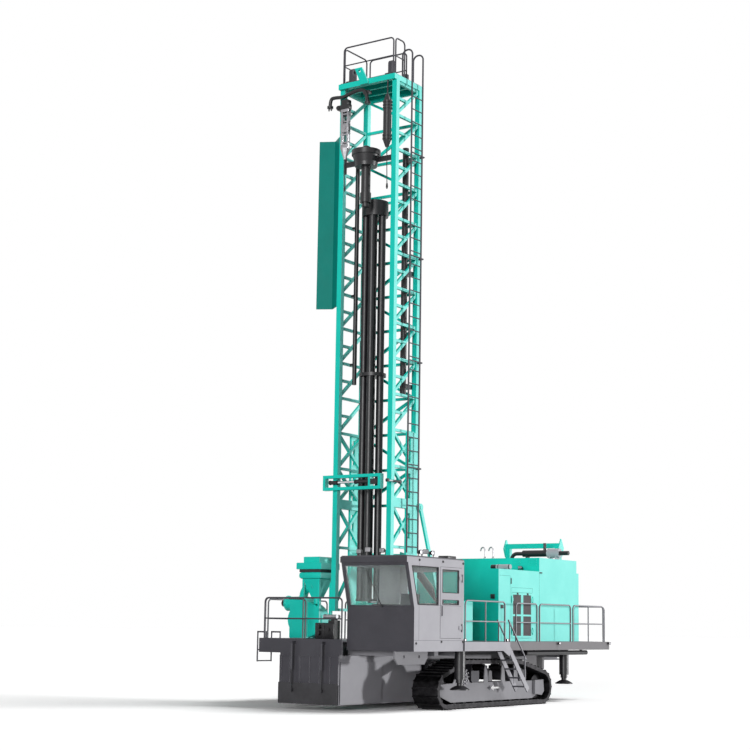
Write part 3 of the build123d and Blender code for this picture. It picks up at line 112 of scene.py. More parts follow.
def paint(name, dark, light, gloss=(0.36, 0.46), shine=0.2, sides=None):
    # sprayed enamel on steel plate: soft mottling, satin sheen and orange peel; given sides, it also gets
    # painted side light, a paler tone on faces that look left or right
    material, tree, shader, place = startMaterial(name)
    colour = mottled(tree, place, dark, light, enamel["patch"])
    # painted side light, added when sides are given
    if sides:
        colour = paintedSideLight(tree, place, colour, sides)
    tree.links.new(colour, shader.inputs["Base Color"])
    roughened(tree, place, shader, *gloss, enamel["glossPatch"])
    bumped(tree, place, shader, enamel["peel"], enamel["peelDepth"])
    shader.inputs["Specular IOR Level"].default_value = shine
    return material


def metal(name, dark, light, gloss, size, bump):
    # bare metal: patchy tone, worn gloss and a cast or ground skin
    material, tree, shader, place = startMaterial(name)
    tree.links.new(mottled(tree, place, dark, light, size), shader.inputs["Base Color"])
    roughened(tree, place, shader, *gloss, size)
    bumped(tree, place, shader, size / 4, bump)
    shader.inputs["Metallic"].default_value = 1.0
    return material


moulded = {"patch": 0.3, "gloss": (0.6, 0.8), "glossPatch": 0.1, "pebble": 0.03, "pebbleDepth": 0.002}


def rubber(name, dark, light):
    # moulded rubber or plastic: dull, with a fine pebbled skin
    material, tree, shader, place = startMaterial(name)
    tree.links.new(mottled(tree, place, dark, light, moulded["patch"]), shader.inputs["Base Color"])
    roughened(tree, place, shader, *moulded["gloss"], moulded["glossPatch"])
    bumped(tree, place, shader, moulded["pebble"], moulded["pebbleDepth"])
    return material


glazing = {"tint": "#F2F9F8", "clear": 0.95, "bend": 1.08, "gloss": (0.01, 0.04), "glossPatch": 0.5}


def glass(name):
    # clear cab glazing with a green cast, drawn as thin panes
    material, tree, shader, place = startMaterial(name)
    shader.inputs["Base Color"].default_value = linear(glazing["tint"])
    shader.inputs["Transmission Weight"].default_value = glazing["clear"]
    shader.inputs["IOR"].default_value = glazing["bend"]
    roughened(tree, place, shader, *glazing["gloss"], glazing["glossPatch"])
    return material


# the sides colours are painted side light, a paler teal or grey on faces that look left or right; on
# handrails and stairs it shows as light stripes, and on the rear deck's fascia it is dimmer
tealPaintAndSideLight = paint("tealEnamelPaintedSideLight", "#14CBBA", "#1CD3C2", sides=("#77D9D0", "#80DFD6"))
greyPaintAndSideLight = paint("graphiteEnamelPaintedSideLight", "#424147", "#4A494F", sides=("#99989E", "#A09FA5"))
darkPaint = paint("darkGraphiteEnamel", "#424147", "#4A494F")
# painted side light: the graphite frames drawn a lighter grey all over, as they look under the side light
frameGreyPaintedSideLight = paint("frameGreyEnamelPaintedSideLight", "#7C7B80", "#858489")
fasciaPaintAndSideLight = paint("fasciaEnamelPaintedSideLight", "#4C4B50", "#535257", sides=("#6E6C6F", "#767477"))
lightPaint = paint("paleGreyEnamel", "#A9A7AE", "#B4B2B9")
blackPaint = paint("blackEnamel", "#18171A", "#201F22", gloss=(0.3, 0.45), shine=0.4)
whitePaint = paint("whiteEnamel", "#DDDDDD", "#E8E8E8")
trackSteel = metal("castTrackSteel", "#1C1B1D", "#353436", (0.4, 0.6), 0.12, 0.004)
brightSteel = metal("groundSteel", "#8A898C", "#A3A2A6", (0.25, 0.4), 0.1, 0.0005)
chromeRod = metal("chromedRod", "#C9C9CC", "#D6D6D9", (0.08, 0.15), 0.3, 0.0002)
flapRubber = rubber("ribbedRubber", "#2A292C", "#343337")
hoseRubber = rubber("hoseRubber", "#101011", "#19191B")
cabGlass = glass("cabGlazing")
trim = rubber("mouldedTrim", "#3B3A3F", "#48474C")
grilleDark = paint("darkGrilleEnamel", "#3A3437", "#433D40", gloss=(0.5, 0.6), shine=0.3)
# painted shade: the teal darkened and given little sheen where the hose trough stands in shade
troughShadedTeal = paint("tealPaintedShade", "#078075", "#0A867B", shine=0.05)
tealShade = paint("tealShutLine", "#0B7D72", "#0E877B")
lining = rubber("paleCabLining", "#A8A6A8", "#B5B3B5")

finishes = (
    (tealPaintAndSideLight, "mast_left mast_right mast_frame mast_crown a_frame house_front house_rear grille_door_front"
                " grille_door_rear mast_rest pipe_arm dust_collector deck_cabinet"),
    (troughShadedTeal, "hose_trough"),
    (greyPaintAndSideLight, "deck_front front_platform dust_hood cab_floor cab_roof cab_front cab_left cab_rear cab_right"
                " cab_door handrails stairs"),
    (darkPaint, "axles lift_cylinders mast_ladder crown_deck"),
    (frameGreyPaintedSideLight, "track_frames main_frame"),
    (fasciaPaintAndSideLight, "deck_rear"),
    (lightPaint, "muffler air_cleaner"),
    (blackPaint, "rotary_head spindle carousel feed_cylinder hoist_cylinder exhaust_pipe raise_barrels"
                 " rear_tank mast_feet jack_tubes jack_front_left jack_front_right jack_rear_left"
                 " jack_rear_right"),
    (trackSteel, "track_left track_right rollers engine"),
    (chromeRod, "raise_rods"),
    (flapRubber, "hood_flap"),
    (cabGlass, "cab_glass door_glass"),
    (trim, "cab_interior"),
)
for material, names in finishes:
    for name in names.split():
        for slot in nodes[name].material_slots:
            slot.material = material
print("materials set")

# camera solved from the photograph's edges, angles in degrees
cameraData = {"at": (23.978, -37.921, 2.05), "yaw": 34.54, "pitch": 8.962, "roll": 0.893,
              "lens": 76.48, "far": 500.0}
yaw, pitch, roll = (math.radians(cameraData[key]) for key in ("yaw", "pitch", "roll"))
ahead = Vector((-math.sin(yaw) * math.cos(pitch), math.cos(yaw) * math.cos(pitch), math.sin(pitch)))
level = Vector((math.cos(yaw), math.sin(yaw), 0.0))
over = level.cross(ahead)
right = math.cos(roll) * level + math.sin(roll) * over
up = -math.sin(roll) * level + math.cos(roll) * over
camera = bpy.data.objects.new("camera", bpy.data.cameras.new("camera"))
camera.data.lens = cameraData["lens"]
camera.data.clip_end = cameraData["far"]
facing = Matrix((right, up, -ahead)).transposed().to_4x4()
camera.matrix_world = Matrix.Translation(cameraData["at"]) @ facing
bpy.context.collection.objects.link(camera)
bpy.context.scene.camera = camera


def settle(obj, material, body):
    obj.data.materials.append(material)
    bpy.context.collection.objects.link(obj)
    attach(obj, body)
    return obj


def finishPiece(name, shape, material, body):
    # the mesh becomes a piece with smooth rounds and crisp corners
    bmesh.ops.recalc_face_normals(shape, faces=shape.faces)
    mesh = bpy.data.meshes.new(name)
    shape.to_mesh(mesh)
    shape.free()
    for face in mesh.polygons:
        face.use_smooth = True
    mesh.set_sharp_from_angle(angle=math.radians(35))
    return settle(bpy.data.objects.new(name, mesh), material, body)


def block(shape, low, high, edge=0.0):
    # box between two corners, its edges rounded by edge metres
    made = bmesh.ops.create_cube(shape, size=1.0)["verts"]
    bmesh.ops.scale(shape, vec=[b - a for a, b in zip(low, high)], verts=made)
    bmesh.ops.translate(shape, vec=[(a + b) / 2 for a, b in zip(low, high)], verts=made)
    if edge:
        edges = list({e for v in made for e in v.link_edges})
        bmesh.ops.bevel(shape, geom=edges, offset=edge, affect="EDGES", segments=2, profile=0.5, material=-1)
    return made


def barrel(shape, start, end, radius, tip=None, sides=20):
    # round bar or taper between two points
    start, end = Vector(start), Vector(end)
    turn = (end - start).to_track_quat("Z", "Y").to_matrix().to_4x4()
    return bmesh.ops.create_cone(shape, cap_ends=True, segments=sides, radius1=radius,
                                 radius2=radius if tip is None else tip, depth=(end - start).length,
                                 matrix=Matrix.Translation((start + end) / 2) @ turn)["verts"]


def windowRing(shape, x, corners, radius):
    # round bead along a closed outline of (y, z) corners
    for (ya, za), (yb, zb) in zip(corners, corners[1:] + corners[:1]):
        barrel(shape, (x, ya, za), (x, yb, zb), radius, sides=8)


def dropIn(target, source, matrix):
    # a shape made at the origin joins the target mesh at its place
    bmesh.ops.transform(source, matrix=matrix, verts=source.verts)
    mesh = bpy.data.meshes.new("part")
    source.to_mesh(mesh)
    source.free()
    target.from_mesh(mesh)
    bpy.data.meshes.remove(mesh)


def bentLine(name, points, radius):
    # one open spline as a round tube
    curve = bpy.data.curves.new(name, "CURVE")
    curve.dimensions = "3D"
    spline = curve.splines.new("NURBS")
    spline.points.add(len(points) - 1)
    for target, point in zip(spline.points, points):
        target.co = (*point, 1.0)
    spline.order_u = 3
    spline.use_endpoint_u = True
    curve.bevel_depth = radius
    curve.bevel_resolution = 4
    curve.use_fill_caps = True
    curve.resolution_u = 12
    return bpy.data.objects.new(name, curve)


# breakout tool on the left of the crown: cast body with two windows, a point below and a dark head
toolData = {"x": -0.66, "y": -3.74, "half": 0.13, "cheek": 0.065, "cheekZ": (14.98, 16.08), "eye": 15.53,
            "bridges": ((14.93, 15.07), (15.40, 15.66), (15.98, 16.10)), "pins": (15.12, 15.36, 15.72, 15.94),
            "point": (14.95, 14.64), "head": (16.06, 16.20), "cap": (16.18, 16.34), "hookX": -0.88}
toolX, toolY, half = toolData["x"], toolData["y"], toolData["half"]
tool = bmesh.new()
for xa in (toolX - half, toolX + half - toolData["cheek"]):
    low, high = toolData["cheekZ"]
    block(tool, (xa, toolY - 0.05, low), (xa + toolData["cheek"], toolY + 0.05, high), 0.012)
for low, high in toolData["bridges"]:
    block(tool, (toolX - half, toolY - 0.06, low), (toolX + half, toolY + 0.06, high), 0.015)
start, end = toolData["point"]
barrel(tool, (toolX, toolY, start), (toolX, toolY, end), half, 0.03, sides=6)
for z in toolData["pins"]:
    barrel(tool, (toolX - 0.15, toolY, z), (toolX + 0.15, toolY, z), 0.03)
barrel(tool, (toolX, toolY - 0.07, toolData["eye"]), (toolX, toolY + 0.07, toolData["eye"]), 0.06)
finishPiece("breakoutTool", tool, brightSteel, "mast")
toolHead = bmesh.new()
(headLow, headHigh), (capLow, capHigh), hookX = (toolData[key] for key in ("head", "cap", "hookX"))
block(toolHead, (toolX - 0.26, toolY - 0.07, headLow), (toolX + 0.16, toolY + 0.07, headHigh), 0.02)
block(toolHead, (toolX - 0.14, toolY - 0.06, capLow), (toolX + 0.10, toolY + 0.10, capHigh), 0.02)
hookZ = (headLow + headHigh) / 2
barrel(toolHead, (hookX, toolY - 0.08, hookZ), (hookX, toolY + 0.08, hookZ), 0.055)
block(toolHead, (toolX - 0.10, toolY + 0.04, headLow - 0.16), (toolX + 0.10, toolY + 0.12, capHigh), 0.01)
finishPiece("breakoutToolHead", toolHead, blackPaint, "mast")

# ropes of the two tools that hang from the crown: the left one runs on through its tool
ropeData = {
    "radius": 0.012,
    "left": ((-0.66, -3.70, 16.685), (-0.66, -3.72, 16.40), (-0.66, -3.74, 16.0), (-0.66, -3.74, 15.0),
             (-0.657, -3.74, 14.42), (-0.65, -3.735, 13.86)),
    "right": ((0.70, -3.705, 14.795), (0.703, -3.705, 14.45), (0.708, -3.703, 14.1), (0.715, -3.70, 13.75)),
    "thimble": ((0.03, -0.06, 0.022, 0.03), (-0.06, -0.12, 0.03, 0.014)),   # from, to, first and last radius
}
for side in ("left", "right"):
    points = ropeData[side]
    rope = settle(bentLine(side + "ToolRope", points, ropeData["radius"]), hoseRubber, "mast")
    x, y, z = points[-1]
    thimble = bmesh.new()
    for start, end, first, last in ropeData["thimble"]:
        barrel(thimble, (x, y, z + start), (x, y, z + end), first, last)
    end = finishPiece(side + "RopeEnd", thimble, blackPaint, "mast")
print("ropes hung")

# work lamps: place, heading in degrees from +X and width; the housing's sizes are shares of its width
lampData = {
    "lamps": (((1.43, -5.70, 3.86), -90, 0.15), ((1.70, -5.70, 3.90), -90, 0.17),
              ((2.11, -5.70, 3.875), -90, 0.15), ((2.86, -5.19, 3.85), 0, 0.15),
              ((2.86, -4.95, 3.87), -40, 0.15), ((2.86, -4.67, 3.85), 0, 0.15),
              ((1.05, 3.02, 3.80), -90, 0.13), ((2.50, 2.66, 1.655), 0, 0.10),
              ((2.50, 5.84, 1.655), 0, 0.10), ((2.93, -1.06, 1.745), 0, 0.10),
              ((2.93, -3.19, 1.745), 0, 0.10)),
    "deep": 0.34, "tall": 0.38, "taper": 0.6, "round": 0.05, "ear": 0.53, "lens": 0.42,
    "roofFoot": 0.05, "roofAbove": 2.0,   # lamps on a roof stand on longer ears
    "fanCover": ((2.45, -3.72, 3.754), (2.75, -3.32, 3.83), 0.02),   # low cover beside them on the cab roof
}
housings, lenses = bmesh.new(), bmesh.new()
for place, heading, width in lampData["lamps"]:
    turn = Matrix.Translation(place) @ Matrix.Rotation(math.radians(heading), 4, "Z")
    deep, tall, ear, lensHalf = (width * lampData[key] for key in ("deep", "tall", "ear", "lens"))
    taper = lampData["taper"]
    housing = bmesh.new()
    body = block(housing, (-deep, -width / 2, -tall), (deep, width / 2, tall))
    bmesh.ops.scale(housing, vec=(1.0, taper, taper), verts=[v for v in body if v.co.x < 0])
    bmesh.ops.bevel(housing, geom=housing.edges[:], offset=width * lampData["round"], affect="EDGES",
                    segments=2, profile=0.5, material=-1)
    foot = tall + lampData["roofFoot"] if place[2] > lampData["roofAbove"] else tall
    for y in (-ear, ear):
        block(housing, (-0.012, y - 0.004, -foot), (0.012, y + 0.004, 0.02))
    dropIn(housings, housing, turn)
    lens = bmesh.new()
    block(lens, (deep - 0.004, -lensHalf, -tall * 0.8), (deep + 0.006, lensHalf, tall * 0.8), 0.004)
    dropIn(lenses, lens, turn)
block(housings, *lampData["fanCover"])
finishPiece("lampHousings", housings, blackPaint, "base")
finishPiece("lampLenses", lenses, brightSteel, "base")
print("lamps set")

# mesh panels in the grille doors, with their latches
grilleData = {"front": (1.608, 2.066), "rear": (2.194, 2.652), "rows": ((1.848, 2.395), (2.445, 2.992)),
              "face": 1.598, "pitch": 0.026, "slat": 0.006, "bar": 0.004, "bays": 6,
              "latch": 3.024, "latchShift": {"front": 0.02, "rear": 0.015}}
for side in ("front", "rear"):
    ya, yb = grilleData[side]
    face, slat, bar, bays = (grilleData[key] for key in ("face", "slat", "bar", "bays"))
    panel = bmesh.new()
    for za, zb in grilleData["rows"]:
        block(panel, (face - 0.0025, ya, za), (face + 0.0005, yb, zb))
        for i in range(int((zb - za) / grilleData["pitch"])):
            z = za + (i + 0.5) * grilleData["pitch"]
            block(panel, (face, ya, z - slat), (face + 0.0055, yb, z + slat))
        for i in range(1, bays):
            y = ya + i * (yb - ya) / bays
            block(panel, (face, y - bar, za), (face + 0.005, y + bar, zb))
    finishPiece(side + "GrilleMesh", panel, grilleDark, "grille_door_" + side)
    latch = bmesh.new()
    y, z = (ya + yb) / 2 + grilleData["latchShift"][side], grilleData["latch"]
    block(latch, (face + 0.006, y - 0.035, z - 0.022), (face + 0.020, y + 0.035, z + 0.022), 0.005)
    barrel(latch, (face + 0.018, y, z), (face + 0.036, y, z), 0.016)
    block(latch, (face + 0.030, y - 0.012, z - 0.069), (face + 0.040, y + 0.012, z + 0.010), 0.004)
    finishPiece(side + "GrilleLatch", latch, blackPaint, "grille_door_" + side)

# small fittings on the house: door handle, two sockets and a bolted bracket
fittingData = {
    "wall": 1.60,
    "plates": (((1.60, 1.475, 3.28), (1.606, 1.513, 3.457), 0.004),     # behind the handle
               ((1.346, 0.782, 2.855), (1.484, 0.80, 2.985), 0.006),
               ((1.372, 0.774, 2.88), (1.458, 0.784, 2.96), 0.008),
               ((1.60, 0.91, 2.60), (1.612, 1.07, 2.695), 0.006),
               ((1.61, 0.935, 2.62), (1.618, 1.045, 2.675), 0.006),
               ((1.60, 3.16, 3.64), (1.62, 3.30, 3.675), 0.005)),
    "handle": {"y": 1.494, "z": (3.30, 3.44), "radius": 0.010, "foot": 0.009},
    "bracketBolts": {"y": (3.19, 3.27), "z": 3.657, "radius": 0.012},
}
fittings = bmesh.new()
for low, high, edge in fittingData["plates"]:
    block(fittings, low, high, edge)
wallX, handle, bracket = (fittingData[key] for key in ("wall", "handle", "bracketBolts"))
y, (low, high) = handle["y"], handle["z"]
barrel(fittings, (wallX + 0.012, y, low), (wallX + 0.012, y, high), handle["radius"])
for z in (low, high):
    barrel(fittings, (wallX, y, z), (wallX + 0.016, y, z), handle["foot"])
z = bracket["z"]
for y in bracket["y"]:
    barrel(fittings, (wallX + 0.02, y, z), (wallX + 0.032, y, z), bracket["radius"], sides=6)
finishPiece("houseFittings", fittings, blackPaint, "base")

# shut lines of the service panels and the joint of the two houses, wide enough to show
seamData = {"x": (1.599, 1.6012), "half": 0.0035, "joint": ((3.146, 1.702), (3.154, 3.69)),
            "lines": (((0.86, 3.51), (1.456, 3.51)), ((1.456, 3.10), (1.456, 3.51)),
                      ((1.456, 1.75), (1.456, 3.10)), ((1.533, 3.19), (2.738, 3.19)),
                      ((1.533, 3.075), (1.533, 3.19)), ((2.738, 3.075), (2.738, 3.19)))}
seams = bmesh.new()
(xa, xb), half = seamData["x"], seamData["half"]
for (ya, za), (yb, zb) in seamData["lines"]:
    block(seams, (xa, ya - half, za - half), (xb, yb + half, zb + half))
(ya, za), (yb, zb) = seamData["joint"]
block(seams, (xa, ya, za), (xb, yb, zb))
finishPiece("houseShutLines", seams, tealShade, "base")

# louvres on the step between the two roofs, their upper edges leaning in
louvreData = {"columns": ((0.726, 0.973), (1.24, 1.506)), "rows": (3.89, 3.955, 4.02), "half": 0.018,
              "y": (3.128, 3.15)}
louvres = bmesh.new()
(ya, yb), half = louvreData["y"], louvreData["half"]
for xa, xb in louvreData["columns"]:
    for z in louvreData["rows"]:
        hood = block(louvres, (xa, ya, z - half), (xb, yb, z + half))
        lip = [v for v in hood if v.co.y < (ya + yb) / 2 and v.co.z > z]
        bmesh.ops.translate(louvres, vec=(0, half, 0), verts=lip)
finishPiece("stepLouvres", louvres, tealPaintAndSideLight, "base")

# breather pipes with turned-down ends on the rear roof
breatherData = {"y": 3.2, "radius": 0.02, "x": {"leftBreather": -0.255, "rightBreather": 0.025},
                "route": ((0, 4.085), (0, 4.22), (0, 4.34), (-0.02, 4.40), (-0.08, 4.425), (-0.135, 4.39),
                          (-0.155, 4.31)),
                "collar": ((4.088, 4.105, 0.045, 0.045), (4.105, 4.14, 0.034, 0.026))}
y = breatherData["y"]
for name, x in breatherData["x"].items():
    pipe = bentLine(name, [(x + shift, y, z) for shift, z in breatherData["route"]], breatherData["radius"])
    settle(pipe, brightSteel, "base")
    collar = bmesh.new()
    for low, high, first, last in breatherData["collar"]:
        barrel(collar, (x, y, low), (x, y, high), first, last)
    finishPiece(name + "Collar", collar, brightSteel, "base")

# air cleaner's dark intake end with its clamps
intakeData = {"y": 1.64, "z": 3.774, "radius": 0.0615, "mouth": 0.048, "x": (0.872, 0.888, 1.052),
              "clamps": (1.11, 1.46), "clampRadius": 0.0685}
y, z, radius = (intakeData[key] for key in ("y", "z", "radius"))
mouthX, capX, endX = intakeData["x"]
intake = bmesh.new()
barrel(intake, (capX, y, z), (endX, y, z), radius, sides=28)
barrel(intake, (mouthX, y, z), (capX + 0.002, y, z), intakeData["mouth"], radius, sides=28)
for x in intakeData["clamps"]:
    barrel(intake, (x, y, z), (x + 0.022, y, z), intakeData["clampRadius"], sides=28)
    block(intake, (x - 0.004, y - 0.075, z - 0.009), (x + 0.026, y - 0.057, z + 0.009), 0.004)
finishPiece("airCleanerIntake", intake, blackPaint, "base")
print("house dressed")

# gaskets round the side window and the door's two windows
gasketData = {"side": ((-5.401, 2.59), (-5.673, 3.505), (-4.485, 3.505), (-4.485, 2.59)),
              "sideX": 2.951, "sideBead": 0.011,
              "doorY": (-4.292, -3.528), "doorZ": ((2.90, 3.462), (2.61, 2.72)),
              "doorX": 2.955, "doorBead": 0.008}
gasket = bmesh.new()
windowRing(gasket, gasketData["sideX"], gasketData["side"], gasketData["sideBead"])
finishPiece("sideWindowGasket", gasket, hoseRubber, "base")
doorGasket = bmesh.new()
ya, yb = gasketData["doorY"]
for za, zb in gasketData["doorZ"]:
    corners = ((ya, za), (ya, zb), (yb, zb), (yb, za))
    windowRing(doorGasket, gasketData["doorX"], corners, gasketData["doorBead"])
finishPiece("doorWindowGasket", doorGasket, hoseRubber, "cab_door")

# shut lines and bolt heads on the cab's side and front
cabLineData = {
    "cab": (((2.949, -5.348, 1.73), (2.9512, -5.342, 3.585)),
            ((2.949, -5.345, 2.575), (2.9512, -4.40, 2.581)),
            ((2.949, -5.55, 1.727), (2.9512, -3.28, 1.733)),
            ((0.99, -5.5572, 1.727), (2.945, -5.555, 1.733)),
            ((0.99, -5.5572, 2.497), (2.945, -5.555, 2.503))),
    "door": ((2.953, -4.38, 2.575), (2.9552, -3.40, 2.581)),
    "bolts": ((-5.35, 3.655), (-4.277, 3.655), (-4.324, 1.70), (-3.31, 1.70), (-5.461, 1.66),
              (-3.321, 3.645)),
    "boltX": (2.949, 2.955, 2.972), "washer": 0.032, "bolt": 0.022,
}
cabLines = bmesh.new()
for low, high in cabLineData["cab"]:
    block(cabLines, low, high)
finishPiece("cabShutLines", cabLines, trim, "base")
doorLine = bmesh.new()
block(doorLine, *cabLineData["door"])
finishPiece("doorTrimLine", doorLine, trim, "cab_door")
bolts = bmesh.new()
wallX, washerX, boltX = cabLineData["boltX"]
for y, z in cabLineData["bolts"]:
    barrel(bolts, (wallX, y, z), (washerX, y, z), cabLineData["washer"], sides=24)
    barrel(bolts, (washerX, y, z), (boltX, y, z), cabLineData["bolt"], sides=6)
finishPiece("cabBolts", bolts, blackPaint, "base")

# wiper on the windscreen: pivot, arm and blade
wiperData = {"root": (2.05, -5.612, 2.55), "tip": (1.75, -5.835, 3.38), "stand": 0.025, "pivot": 0.03,
             "arm": (0.011, 0.008), "blade": 0.009}
root, tip = Vector(wiperData["root"]), Vector(wiperData["tip"])
stand = Vector((0, wiperData["stand"], 0))
wiper = bmesh.new()
barrel(wiper, root + Vector((0, 0.02, 0)), root - Vector((0, 0.03, 0)), wiperData["pivot"])
barrel(wiper, root - stand, tip - stand, *wiperData["arm"])
barrel(wiper, tip + Vector((0.02, 0.055, -0.30)), tip + Vector((-0.02, -0.025, 0.06)), wiperData["blade"])
finishPiece("windscreenWiper", wiper, blackPaint, "base")

# rear wall of the cab with its two windows: the right one looks on to the house
wallData = {"x": (1.045, 2.89), "y": (-3.334, -3.274), "z": (1.73, 3.585), "windowZ": (2.65, 3.435),
            "windows": ((1.285, 2.25), (2.31, 2.83)), "paneY": (-3.31, -3.298)}
(xa, xb), (ya, yb), (low, high), (za, zb) = (wallData[key] for key in ("x", "y", "z", "windowZ"))
(leftA, leftB), (rightA, rightB) = wallData["windows"]
wall = bmesh.new()
block(wall, (xa, ya, low), (xb, yb, za))
block(wall, (xa, ya, zb), (xb, yb, high))
for start, end in ((xa, leftA), (leftB, rightA), (rightB, xb)):
    block(wall, (start, ya, za), (end, yb, zb))
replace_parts(finishPiece("cabRearWall", wall, greyPaintAndSideLight, "base"), "cab_rear")
pane = bmesh.new()
paneA, paneB = wallData["paneY"]
block(pane, (rightA, paneA, za), (rightB, paneB, zb))
finishPiece("rearSidePane", pane, cabGlass, "base")

# pale lining on the inside of the cab: rear wall, left wall and roof
liningData = {"rear": (((1.046, -3.342, 1.735), (1.284, -3.336, 3.575)),
                       ((1.284, -3.342, 1.735), (2.889, -3.336, 2.648)),
                       ((1.284, -3.342, 3.437), (2.889, -3.336, 3.575))),
              "left": (((1.046, -4.265, 1.735), (1.052, -3.342, 3.575)),
                       ((1.046, -5.49, 1.735), (1.052, -4.265, 2.558))),
              "roof": (((1.05, -5.70, 3.578), (2.888, -3.34, 3.584)),)}
linings = bmesh.new()
for panels in liningData.values():
    for low, high in panels:
        block(linings, low, high)
finishPiece("cabLining", linings, lining, "base")
print("cab dressed")

# steel swan-neck pipe under the crown
neckData = {"y": -3.73, "radius": 0.05, "flange": 0.085, "flangeTall": 0.06,
            "route": ((-1.20, 16.20), (-1.21, 16.46), (-1.02, 16.47), (-0.75, 16.43), (-0.42, 16.53),
                      (-0.17, 16.55), (0.03, 16.46), (0.06, 16.12)),
            "flanges": ((-1.20, 16.19), (0.06, 16.10)),
            "stud": 0.02, "studX": (-1.24, -1.16), "studZ": (16.12, 16.19),
            "clip": ((-0.10, -3.73, 16.42), (0.10, -3.60, 16.50), 0.01)}
y = neckData["y"]
neck = bentLine("crownPipe", [(x, y, z) for x, z in neckData["route"]], neckData["radius"])
settle(neck, blackPaint, "mast")
flange = bmesh.new()
for x, z in neckData["flanges"]:
    barrel(flange, (x, y, z), (x, y, z + neckData["flangeTall"]), neckData["flange"], sides=24)
low, high = neckData["studZ"]
for x in neckData["studX"]:
    barrel(flange, (x, y, low), (x, y, high), neckData["stud"], sides=6)
block(flange, *neckData["clip"])
finishPiece("crownPipeFlanges", flange, blackPaint, "mast")

# rings on the right tool
ringData = {"x": 0.70, "y": -3.705, "z": (15.0, 15.09, 15.85, 15.94, 16.03), "tall": 0.045, "radius": 0.128}
rings = bmesh.new()
x, y = ringData["x"], ringData["y"]
for z in ringData["z"]:
    barrel(rings, (x, y, z), (x, y, z + ringData["tall"]), ringData["radius"], sides=28)
finishPiece("hangingToolRings", rings, blackPaint, "mast")

# cylinders and jaws on the pipe arm: two in line across it, one along the swinging side
armData = {"y": -3.70, "z": 5.80, "tubes": ((-0.16, 0.29), (-0.98, -0.72)), "tube": 0.052, "rod": 0.036,
           "band": 0.062, "bandWide": 0.03,
           "sideX": 0.975, "sideZ": 5.79, "sideY": (-3.86, -3.60, -3.28), "sideTube": 0.033,
           "sideRod": 0.022, "eye": 0.045, "jawX": 0.51, "jaw": 0.075}
y, z, sideX, sideZ, jawX, wide = (armData[key] for key in ("y", "z", "sideX", "sideZ", "jawX", "bandWide"))
armCylinders, armRods = bmesh.new(), bmesh.new()
for xa, xb in armData["tubes"]:
    barrel(armCylinders, (xa, y, z), (xb, y, z), armData["tube"], sides=24)
    for x in (xa, xb - wide):
        barrel(armCylinders, (x, y, z), (x + wide, y, z), armData["band"], sides=24)
(rodEnd, _), (_, rodStart) = armData["tubes"]
barrel(armRods, (rodStart, y, z), (rodEnd, y, z), armData["rod"], sides=24)
eyeA, joint, eyeB = armData["sideY"]
barrel(armCylinders, (sideX, joint, sideZ), (sideX, eyeB, sideZ), armData["sideTube"], sides=20)
barrel(armRods, (sideX, eyeA, sideZ), (sideX, joint, sideZ), armData["sideRod"], sides=20)
for eyeY in (eyeA, eyeB):
    barrel(armCylinders, (sideX - 0.035, eyeY, sideZ), (sideX + 0.035, eyeY, sideZ), armData["eye"], sides=20)
block(armCylinders, (jawX - 0.15, y - 0.06, sideZ - 0.07), (jawX + 0.15, y + 0.06, sideZ + 0.07), 0.02)
barrel(armCylinders, (jawX, y - 0.08, sideZ), (jawX, y + 0.08, sideZ), armData["jaw"], sides=24)
finishPiece("pipeArmCylinders", armCylinders, blackPaint, "mast")
finishPiece("pipeArmRods", armRods, chromeRod, "mast")
print("mast dressed")

# dust collector: fan with its scroll and outlet, duct, and the filter box on its hopper and legs
collectorData = {
    "x": -1.615, "y": -3.29, "deck": 1.70,
    "fanX": (-2.36, -1.80), "fanDeep": 0.26, "fanTop": 2.78,
    "scroll": {"x": -1.90, "z": 2.2, "radius": 0.57, "flat": 0.82, "half": 0.17},
    "outletZ": 2.63, "outlets": ((-2.57, -2.2, 0.18), (-2.60, -2.565, 0.205)),    # from, to, radius
    # the band is black, painted shade in the gap between the two lower tiers
    "seals": ((-2.76, -2.58, 0.09), (-2.63, -2.595, 0.115)), "band": (0.35, 0.36, 3.45, 3.53),
    "ductX": -2.09, "ductZ": (2.66, 3.11), "duct": 0.115, "socket": (2.76, 2.81, 0.15),
    # half width, half depth, low, high and edge of each tier
    "tiers": ((0.267, 0.30, 3.69, 3.861, 0.015), (0.415, 0.42, 3.526, 3.70, 0.012),
              (0.375, 0.38, 3.274, 3.459, 0.07)),
    "hopper": (0.30, 2.80, 3.30), "hopperTaper": 0.4, "spout": (2.62, 2.82, 0.10),
    "legX": 0.26, "legY": 0.28, "leg": 0.025, "shoe": 0.06, "shoeTall": 0.02,
}
midX, midY, deckTop, outletZ, ductX = (collectorData[key] for key in ("x", "y", "deck", "outletZ", "ductX"))
fan = bmesh.new()
(xa, xb), deep = collectorData["fanX"], collectorData["fanDeep"]
block(fan, (xa, midY - deep, deckTop), (xb, midY + deep, collectorData["fanTop"]), 0.04)
x, z, radius, flat, half = (collectorData["scroll"][key] for key in ("x", "z", "radius", "flat", "half"))
scroll = barrel(fan, (x, midY - half, z), (x, midY + half, z), radius, sides=48)
bmesh.ops.scale(fan, vec=(1.0, 1.0, flat), space=Matrix.Translation((-x, -midY, -z)), verts=scroll)
for start, end, radius in collectorData["outlets"]:
    barrel(fan, (start, midY, outletZ), (end, midY, outletZ), radius, sides=32)
low, high, radius = collectorData["socket"]
barrel(fan, (ductX, midY, low), (ductX, midY, high), radius, sides=32)
finishPiece("collectorFan", fan, tealPaintAndSideLight, "base")
stub = bmesh.new()
for start, end, radius in collectorData["seals"]:
    barrel(stub, (start, midY, outletZ), (end, midY, outletZ), radius, sides=28)
